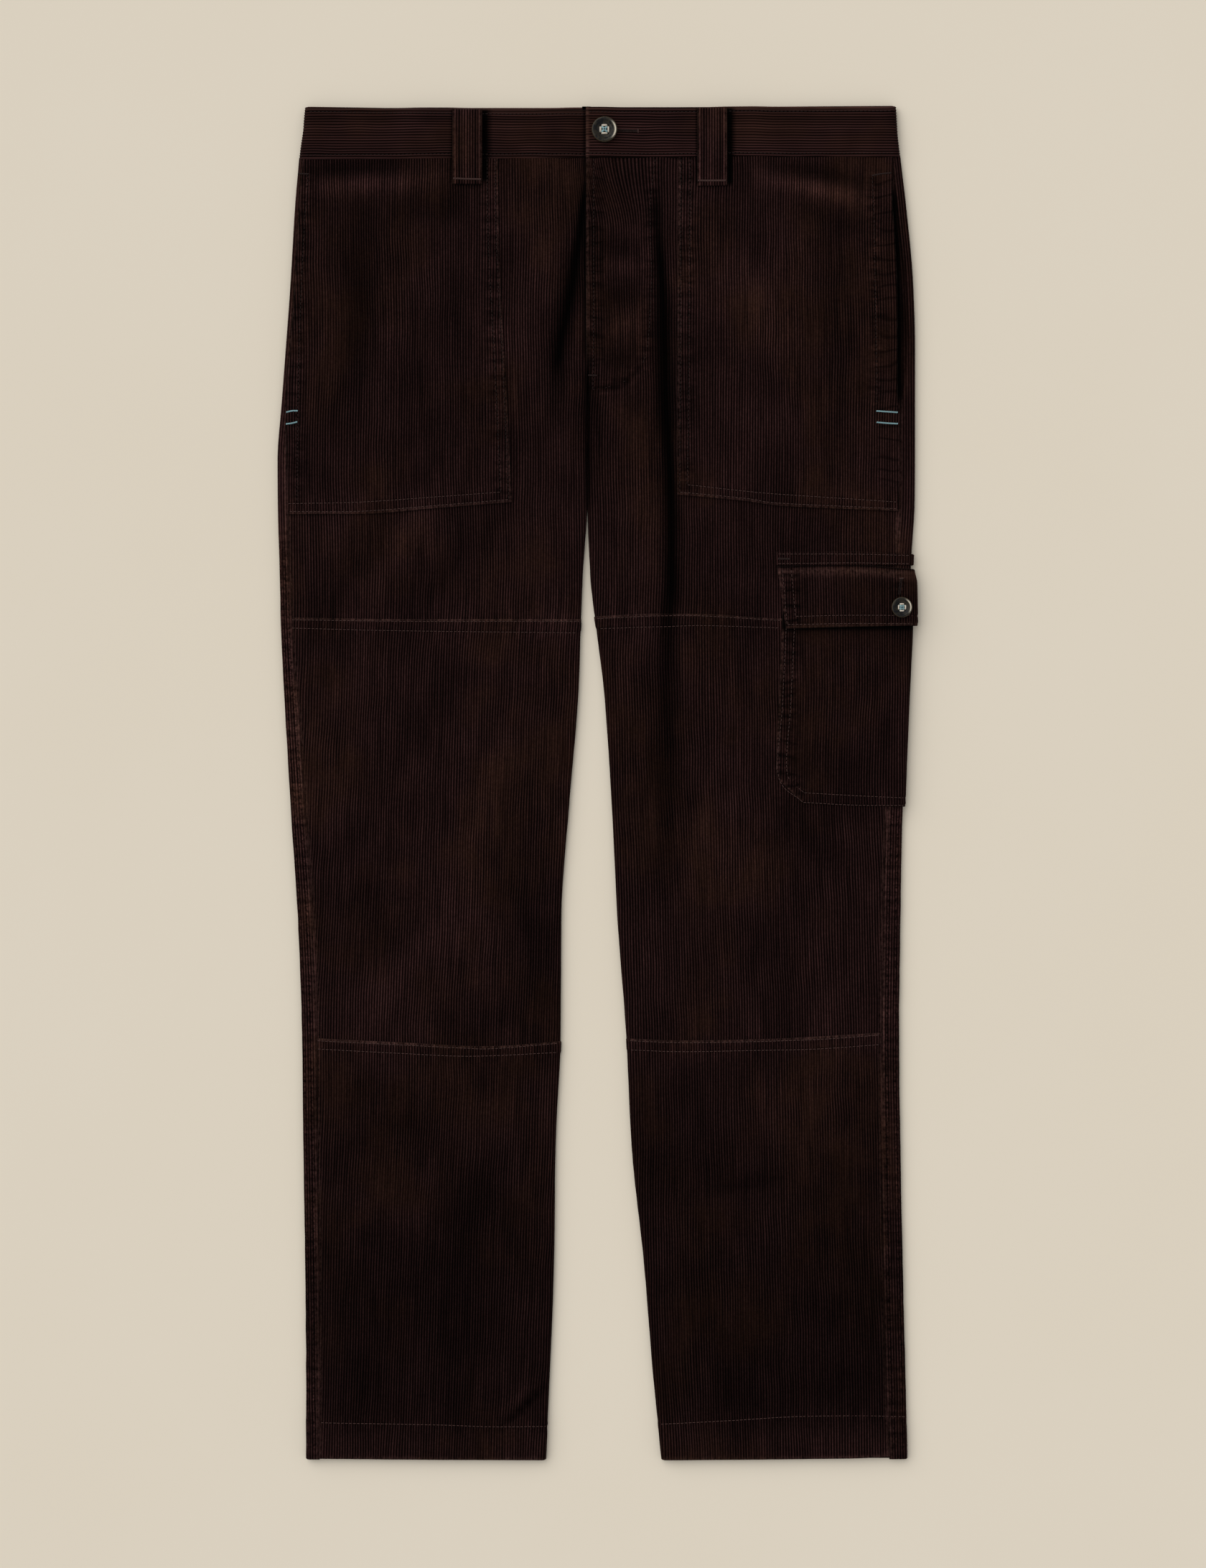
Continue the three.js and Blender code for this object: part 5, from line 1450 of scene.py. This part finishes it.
def band_piece(side):
    """Half the waistband, doubled, with its wales along it."""
    low, high = band_reach(side)
    columns = np.linspace(low, high, int((high - low) / 4.6))
    dense = np.arange(-15.5, 16.0, 0.75) + FRONT_LOOPS[side][0]
    columns = np.concatenate([columns, dense, np.arange(-14.0, -5.0, 0.8)])
    columns = np.unique(np.clip(columns, low, high).round(2))
    pitch = context_pitch()
    rows = np.arange(np.floor(484 / pitch), np.ceil(530 / pitch)) * pitch
    end = curve(BAND_EDGE, SEAM_COLUMN[side], 507.0) - SIDES[side] * BAND["edge"] / 2
    over_x = np.clip(columns, -228, 236) if side == "left" else np.clip(columns, -236, 30)
    bottom = across("band")(over_x) + 0.1
    top = across(f"{side}_band_top")(over_x)
    y = np.clip(rows[:, None], bottom, top)
    s = np.broadcast_to(columns, y.shape)
    lines = [f"{side}_band_low", f"{side}_band_high"] + (["waist_buttonhole"] if side == "left" else [])
    return cloth(
        f"corduroy_waistband_{side}", band_surface(side), s, y, lambda s, y: y + 0.3 * patchy(s, y, 60, 31) + 0.35 * patchy(s, 2 * y, 17, 32),
        lines=lines, thick=1.9, turn=6.0,
        # Random tone, the left half lighter than the right, painted shadows beside the front belt loops, and on the
        # right half a painted shadow beside the left half's lap.
        tone=lambda x, y: (1.16 if side == "left" else 0.95) * (1 + 0.2 * patchy(x, y, 30, 71) + 0.12 * patchy(x, y, 11, 72)) * (1 - 0.95 * loop_shadow(side, x, y))
        * (1 - 0.7 * (side == "right") * np.exp(-(((x + 10.2) / 1.5) ** 2))),
        material=bpy.data.materials["band_corduroy"],
        # Wear along the top fold; along the left half's lap edge the lighter line is partly wear and partly a painted
        # highlight.
        wear=lambda x, y: np.maximum(
            0.35 * np.exp(-(((y - across(f"{side}_band_top")(x) + 0.8) / 1.2) ** 2)),
            0.7 * (side == "left") * np.exp(-(((x - LAP_EDGE - 0.6) / 1.0) ** 2)),
        ),
    )


class TROUSERS_OT_waistband(Operator):
    """Make the two halves of the waistband"""

    bl_idname = "trousers.waistband"
    bl_label = "Waistband"

    def execute(self, context):
        for side in SIDES:
            declare(band_piece(side), f"waistband_{side}")
        return {"FINISHED"}


def strip_grid(x0, x1, y0, y1, step):
    pitch = context_pitch()
    columns = np.clip(np.arange(np.floor(x0 / pitch), np.ceil(x1 / pitch) + 1) * pitch, x0, x1)
    rows = np.linspace(y0, y1, int((y1 - y0) / step) + 1)
    return np.meshgrid(columns, rows)


def under_surface(s, y):
    """The outer face of a back loop, flat on the surface and facing down; s runs against x."""
    s, y = np.broadcast_arrays(s, y)
    return np.stack([-s, y, 0 * s], -1)


def loop_tone(off):
    """Painted light on the folded edges and the middle seam of a loop, which stand up, and painted shade on the pile
    between; the left edge is drawn lighter than the right.
    """
    light = 0.5 * np.exp(-(((off + 9.2) / 1.3) ** 2)) + 0.35 * np.exp(-(((off - 8.8) / 1.3) ** 2))
    light = light + 0.55 * np.exp(-(((off + 1.0) / 1.5) ** 2))
    return 1.02 + light - 0.6 * np.exp(-(((off + 6.6) / 1.2) ** 2)) - 0.6 * np.exp(-(((off - 6.4) / 1.3) ** 2))


class TROUSERS_OT_belt_loops(Operator):
    """Make the two front and three back belt loops"""

    bl_idname = "trousers.belt_loops"
    bl_label = "Belt Loops"

    def execute(self, context):
        material = bpy.data.materials["band_corduroy"]
        for side, (middle, bottom, top) in FRONT_LOOPS.items():
            half = LOOP_WIDTH / 2
            s, y = strip_grid(middle - half, middle + half, bottom, top, 2.5)
            wear = lambda x, y, m=middle: 0.25 * np.exp(-(((np.abs(x - m) - half + 0.6) / 0.9) ** 2))
            piece = cloth(
                f"corduroy_belt_loop_front_{side}", loop_surface(side), s, y, lambda s, y: s, thick=1.7,
                material=material, wear=wear, tone=lambda x, y, m=middle: loop_tone(x - m),
            )
            declare(piece, f"belt_loop_front_{side}")
        for name, middle in BACK_LOOPS.items():
            node = "belt_loop_centre_back" if name == "centre" else f"belt_loop_back_{name}"
            half = LOOP_WIDTH / 2
            s, y = strip_grid(-middle - half, -middle + half, LOOP_BOTTOM, LOOP_TOP[name], 6.0)
            piece = cloth(f"corduroy_{node}", under_surface, s, y, lambda s, y: s, thick=1.7, material=material)
            declare(piece, node)
        return {"FINISHED"}


# ---------------------------------------------------------------- thread
def seated(surface, points, raise_by=None, sink=0.0):
    """Points of a surface above x, y points, their normals, moved by the cloth's own rise less a sink."""
    x, y = points[:, 0], points[:, 1]
    step = 0.5
    place = surface(x, y)
    normal = np.cross(surface(x + step, y) - surface(x - step, y), surface(x, y + step) - surface(x, y - step))
    normal = unit(normal)
    rise = raise_by(place[:, 0], place[:, 1]) if raise_by else 0 * x
    return place + normal * (rise - sink)[:, None], normal


def threads(a, b, normal, width, bow, ends, sides=6, rings=(0.0, 0.16, 0.84, 1.0)):
    """Short tubes from a to b: each rises by bow between its ends, which lie in the cloth by ends, and
    narrows there. Gives points, quads and the map of turn and length."""
    count, rings = len(a), np.array(rings)
    run = b - a
    sideways = unit(np.cross(normal, run))
    height = np.where((rings > 0.01) & (rings < 0.99), bow, -ends)
    radius = np.where((rings > 0.01) & (rings < 0.99), 0.5, 0.3) * width
    centre = a[:, None] + run[:, None] * rings[:, None] + normal[:, None] * height[:, None]
    turn = np.arange(sides) * 2 * np.pi / sides
    ring = (
        sideways[:, None, None] * np.cos(turn)[:, None] + normal[:, None, None] * np.sin(turn)[:, None]
    ) * radius[:, None, None]
    points = (centre[:, :, None] + ring).reshape(-1, 3)
    r, k = np.meshgrid(np.arange(len(rings) - 1), np.arange(sides), indexing="ij")
    first, following = r * sides + k, r * sides + (k + 1) % sides
    one = np.stack([first, following, following + sides, first + sides], -1).reshape(-1, 4)
    quads = (one[None] + (np.arange(count) * len(rings) * sides)[:, None, None]).reshape(-1, 4)
    length = np.linalg.norm(run, axis=1)[:, None, None] * rings[:, None] * np.ones(sides)
    around = np.broadcast_to(turn / (2 * np.pi), length.shape)
    return points, quads, np.stack([around.ravel(), length.ravel()], -1)


def thread_piece(name, bundles, material):
    """One piece of several bundles of threads."""
    points, quads, uvs, start = [], [], [], 0
    for p, q, uv in bundles:
        points.append(p)
        quads.append(q + start)
        uvs.append(uv)
        start += len(p)
    piece = mesh_object(
        name, np.vstack(points), np.vstack(quads), [bpy.data.materials[material]], np.vstack(uvs)
    )
    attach(piece, "root")
    return piece


def stitched(line, surface, raise_by=None):
    """Topstitching along a line: short threads that dip into the cloth between one and the next."""
    settings = bpy.context.scene.trousers_thread
    points = resampled(LINES[line], settings.stitch / MM)
    place, normal = seated(surface, points, raise_by, 0.5 if is_across(LINES[line]) else 0.66)
    a, b = place[:-1], place[1:]
    gap = 0.12 * (b - a)
    return threads(a + gap, b - gap, normal[:-1], settings.width / MM, 0.12, 0.35)


def satin(line, surface, width, spacing, thread, height=0.35, raise_by=None):
    """Close stitches across a line, which cover it: each runs from one side to the other and bows up."""
    points = resampled(line, spacing)
    along = unit(np.gradient(points, axis=0))
    aside = np.stack([-along[:, 1], along[:, 0]], -1) * width / 2
    slant = along * spacing * 0.4
    low, normal = seated(surface, points - aside - slant, raise_by)
    high, _ = seated(surface, points + aside + slant, raise_by)
    return threads(low, high, normal, thread, height, 0.3)


def layer_surface(extra):
    """A layer of the cargo pocket on the left leg."""
    return {
        "strip": wrapped_surface("left", lambda y: LAYER + 0 * y),
        "bag": wrapped_surface("left", lambda y: LAYER + 0 * y),
        "flap": wrapped_surface("left", lambda y: LAYER * (1 + flap_raised(y))),
    }[extra]


class TROUSERS_OT_stitching(Operator):
    """Sew the topstitching of the seams, the hems, the pockets, the fly and the waistband"""

    bl_idname = "trousers.stitching"
    bl_label = "Stitching"

    def execute(self, context):
        for side in SIDES:
            leg, hip_pocket, band = front_surface(side), pocket_surface(side), band_surface(side)
            thigh, shin = lap_raise(side, "thigh"), lap_raise(side, "shin")
            bundles = [stitched(f"{side}_thigh_{k}", leg, thigh) for k in ("top", "low")]
            bundles += [stitched(f"{side}_knee_{k}", leg, shin) for k in ("top", "low")]
            bundles.append(stitched(f"{side}_hem_line", leg, shin))
            thread_piece(f"stitching_{side}_leg", bundles, "brown_thread")
            bundles = [stitched(f"{side}_pocket_{k}", hip_pocket) for k in ("low", "low_2")]
            thread_piece(f"stitching_{side}_hip", bundles, "brown_thread")
            names = [f"{side}_pocket_side", f"{side}_pocket_side_2", f"{side}_placket"]
            bundles = [stitched(name, hip_pocket) for name in names] + [stitched(f"{side}_band_{k}", band) for k in ("low", "high")]
            if side == "left":
                bundles += [stitched("fly_edge", leg), stitched("fly_curve", leg)]
            thread_piece(f"stitching_{side}_hip_dark", bundles, "dark_thread")
        bundles = [stitched(name, layer_surface(name.split("_")[0])) for name in LINES
                   if name.split("_")[0] in ("strip", "bag", "flap")]
        thread_piece("stitching_cargo_pocket", bundles, "brown_thread")
        return {"FINISHED"}


class TROUSERS_OT_bar_tacks(Operator):
    """Sew the bar tacks and the two buttonholes"""

    bl_idname = "trousers.bar_tacks"
    bl_label = "Bar Tacks and Buttonholes"

    def execute(self, context):
        right, left = pocket_surface("right"), pocket_surface("left")
        teal = [
            satin([[-242.4, 289.2], [-238, 290.2], [-233.9, 290.2]], right, 1.2, 0.42, 0.5),
            satin([[-242.6, 280.0], [-238, 280.6], [-234.2, 281.6]], right, 1.2, 0.42, 0.5),
            satin([[217.4, 290.0], [225, 289.5], [233.6, 289.0]], left, 1.2, 0.42, 0.5),
            satin([[217.6, 281.2], [225, 280.6], [233.8, 280.2]], left, 1.2, 0.42, 0.5),
        ]
        thread_piece("bar_tacks_pockets", teal, "teal_thread")
        brown, dark = [], []
        for side, (middle, bottom, top) in FRONT_LOOPS.items():
            half = LOOP_WIDTH / 2
            loop = loop_surface(side)
            brown.append(satin([[middle - half, bottom + 3.4], [middle + half - 0.5, bottom + 3.0]], loop, 1.5, 0.5, 0.5, 0.3))
        dark.append(satin([[-7.2, 318.2], [-0.8, 318.0]], front_surface("left"), 1.4, 0.5, 0.45, 0.2))
        dark.append(satin([[140.8, 175.0], [149.6, 174.8]], layer_surface("strip"), 1.6, 0.5, 0.5))
        dark.append(satin([[214.2, 473.8], [221, 475.2], [228.8, 475.8]], left, 1.3, 0.5, 0.5, 0.25))
        dark.append(satin([[-233.4, 475.2], [-225.6, 475.0]], right, 1.3, 0.5, 0.5, 0.25))
        band, flap = band_surface("left"), layer_surface("flap")
        for offset in (-0.6, 0.6):
            dark.append(satin([[15.5, 508.6 + offset], [31.5, 508.3 + offset]], band, 0.9, 0.6, 0.4, 0.15))
            dark.append(satin([[234.6 + offset, 147], [236.2 + offset, 158.5]], flap, 0.9, 0.6, 0.4, 0.15))
        brown.append(satin([[31.6, 507.2], [31.6, 509.8]], band, 1.2, 0.5, 0.45, 0.3))
        brown.append(satin([[235.0, 159.4], [237.8, 159.4]], flap, 1.2, 0.5, 0.45, 0.3))
        thread_piece("bar_tacks_brown", brown, "brown_thread")
        thread_piece("bar_tacks_dark", dark, "dark_thread")
        return {"FINISHED"}


# ---------------------------------------------------------------- buttons
# share of the radius, share of the height: from the middle of the face, over the rim and under
BUTTON_PROFILE = np.array([
    [0.0, 0.60], [0.30, 0.60], [0.55, 0.63], [0.64, 0.70], [0.72, 0.88], [0.80, 0.985], [0.88, 1.0],
    [0.95, 0.93], [0.992, 0.74], [1.0, 0.5], [0.97, 0.26], [0.88, 0.08], [0.75, 0.0], [0.0, 0.0],
])
THREAD_HOLES = 0.24  # share of the radius from the middle to a hole, along each axis


def button_points(radius, height, streak):
    """A turned button: the profile is carried round, and its face sinks steeply into four holes. Its marks
    are the rim, partly a painted glint, and a pale streak about the angle given, a painted highlight."""
    at = np.linspace(0, len(BUTTON_PROFILE) - 1, 76)
    keys = np.arange(len(BUTTON_PROFILE))
    r = np.interp(at, keys, BUTTON_PROFILE[:, 0]) * radius
    h = np.interp(at, keys, BUTTON_PROFILE[:, 1]) * height
    turn = np.linspace(0, 2 * np.pi, 97)
    x, y = r[:, None] * np.cos(turn), r[:, None] * np.sin(turn)
    z = np.broadcast_to(h[:, None], x.shape).copy()
    hole = THREAD_HOLES * radius
    away = np.full(x.shape, 1e9)
    for sx, sy in ((1, 1), (-1, 1), (-1, -1), (1, -1)):
        away = np.minimum(away, np.hypot(x - sx * hole, y - sy * hole))
    face = (at < 9)[:, None]
    z = z - np.where(face, 0.5 * height * smooth((0.115 * radius - away) / 0.35 + 0.5), 0)
    share = np.broadcast_to(np.hypot(x, y) / radius, z.shape)
    rim = np.where(face, smooth((share - 0.9) / 0.06), 1.0)
    off = np.arctan2(np.sin(turn - streak), np.cos(turn - streak)) / 0.75
    pale = np.where(face, np.exp(-(((share - 0.86) / 0.055) ** 2) - off**4), 0)
    return np.stack([x, y, z], -1), {"rim": rim.ravel(), "pale": pale.ravel()}


def button_threads(radius, height, centre, seed):
    """Thread through the holes: bands along the sides of their square and two crossed in the middle."""
    hole, top = THREAD_HOLES * radius, 0.62 * height
    corners = np.array([[1, 1], [-1, 1], [-1, -1], [1, -1]], float) * hole
    up = np.array([0.0, 0.0, 1.0])
    pale, teal = [], []
    random = np.random.RandomState(seed)
    for k in range(4):
        a, b = corners[k], corners[(k + 1) % 4]
        aside = unit(np.array([-(b - a)[1], (b - a)[0]]))
        for offset in (-0.95, -0.45):
            shift = aside * (offset + random.uniform(-0.15, 0.15))
            pale.append((np.append(a + shift, top), np.append(b + shift, top)))
    for a, b in ((corners[0], corners[2]), (corners[1], corners[3])):
        aside = unit(np.array([-(b - a)[1], (b - a)[0]]))
        for offset in (-0.4, 0.0, 0.4):
            shift = aside * offset
            teal.append((np.append(a + shift, top), np.append(b + shift, top)))
    bundles = []
    for pairs, bow in ((pale, 0.45), (teal, 0.75)):
        a = np.array([p[0] for p in pairs]) + centre
        b = np.array([p[1] for p in pairs]) + centre
        bundles.append(threads(a, b, np.broadcast_to(up, a.shape), 0.75, bow, 0.9, 6, (0, 0.2, 0.5, 0.8, 1)))
    return bundles


class TROUSERS_OT_buttons(Operator):
    """Turn the two horn buttons and sew them on"""

    bl_idname = "trousers.buttons"
    bl_label = "Buttons"

    def execute(self, context):
        for name, (x, y, radius, height) in (("waist", WAIST_BUTTON), ("cargo", CARGO_BUTTON)):
            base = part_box(f"button_{name}")[0].z / MM
            centre = np.array([x, y, base])
            points, marks = button_points(radius, height, 0.0 if name == "waist" else 0.22)
            rows, columns = points.shape[:2]
            piece = mesh_object(
                f"horn_button_{name}", points.reshape(-1, 3) + centre, grid_quads(rows, columns)[:, ::-1],
                [bpy.data.materials["polished_horn"]], marks=marks,
            )
            join_seam(piece)
            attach(piece, "root")
            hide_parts(f"button_{name}")
            pale, teal = button_threads(radius, height, centre, 5 if name == "waist" else 8)
            thread_piece(f"button_thread_pale_{name}", [pale], "cream_thread")
            thread_piece(f"button_thread_teal_{name}", [teal], "teal_thread")
        return {"FINISHED"}


def join_seam(piece):
    """Merges the doubled points where a turned shape closes, and turns its faces outward."""
    mesh = bmesh.new()
    mesh.from_mesh(piece.data)
    bmesh.ops.remove_doubles(mesh, verts=mesh.verts, dist=1e-6)
    bmesh.ops.dissolve_degenerate(mesh, edges=mesh.edges, dist=1e-7)
    bmesh.ops.recalc_face_normals(mesh, faces=mesh.faces)
    mesh.to_mesh(piece.data)
    mesh.free()


# ---------------------------------------------------------------- stage, panel and main
class TROUSERS_OT_stage(Operator):
    """Make the camera, the floor and the lights"""

    bl_idname = "trousers.stage"
    bl_label = "Stage"

    def execute(self, context):
        scene = context.scene
        settings = scene.trousers_stage
        data = bpy.data.cameras.new("camera")
        data.lens, data.sensor_width = 85.0, 36.0
        camera = bpy.data.objects.new("camera", data)
        camera.location = (0.0042, -0.00056, 2.893)
        scene.collection.objects.link(camera)
        scene.camera = camera
        size = 6.0
        corners = [(-size, -size, -0.0002), (size, -size, -0.0002), (size, size, -0.0002), (-size, size, -0.0002)]
        mesh = bpy.data.meshes.new("floor")
        mesh.from_pydata(corners, [], [(0, 1, 2, 3)])
        mesh.materials.append(floor_material())
        floor = bpy.data.objects.new("floor", mesh)
        scene.collection.objects.link(floor)
        light = bpy.data.lights.new("key", "SUN")
        light.energy, light.angle = settings.sun, np.radians(70)
        light.color = (1.0, 0.985, 0.96)
        key = bpy.data.objects.new("key", light)
        key.rotation_euler = (np.radians(-24), np.radians(-36), 0)
        scene.collection.objects.link(key)
        world = bpy.data.worlds.new("studio")
        world.use_nodes = True
        world.node_tree.nodes["Background"].inputs[0].default_value = (1.0, 0.99, 0.975, 1)
        world.node_tree.nodes["Background"].inputs[1].default_value = settings.sky
        scene.world = world
        scene.view_settings.view_transform = "Standard"
        return {"FINISHED"}


STEPS = (
    TROUSERS_OT_stage,
    TROUSERS_OT_materials,
    TROUSERS_OT_backs,
    TROUSERS_OT_fronts,
    TROUSERS_OT_patch_pockets,
    TROUSERS_OT_cargo_pocket,
    TROUSERS_OT_waistband,
    TROUSERS_OT_belt_loops,
    TROUSERS_OT_stitching,
    TROUSERS_OT_bar_tacks,
    TROUSERS_OT_buttons,
)


class TROUSERS_PT_panel(Panel):
    """Lists the settings and the steps"""

    bl_idname = "TROUSERS_PT_panel"
    bl_label = "Trousers"
    bl_space_type = "VIEW_3D"
    bl_region_type = "UI"
    bl_category = "Trousers"

    def draw(self, context):
        scene = context.scene
        for settings in (scene.trousers_cloth, scene.trousers_thread, scene.trousers_stage):
            box = self.layout.box()
            for name in type(settings).__annotations__:
                box.prop(settings, name)
        for step in STEPS:
            self.layout.operator(step.bl_idname)


CLASSES = (ClothSettings, ThreadSettings, StageSettings, *STEPS, TROUSERS_PT_panel)


def register():
    for cls in CLASSES:
        bpy.utils.register_class(cls)
    bpy.types.Scene.trousers_cloth = PointerProperty(type=ClothSettings)
    bpy.types.Scene.trousers_thread = PointerProperty(type=ThreadSettings)
    bpy.types.Scene.trousers_stage = PointerProperty(type=StageSettings)


def unregister():
    del bpy.types.Scene.trousers_stage
    del bpy.types.Scene.trousers_thread
    del bpy.types.Scene.trousers_cloth
    for cls in reversed(CLASSES):
        bpy.utils.unregister_class(cls)


def main():
    """Registers the add-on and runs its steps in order."""
    register()
    for step in STEPS:
        getattr(bpy.ops.trousers, step.bl_idname.split(".")[1])()


if __name__ == "__main__":
    main()
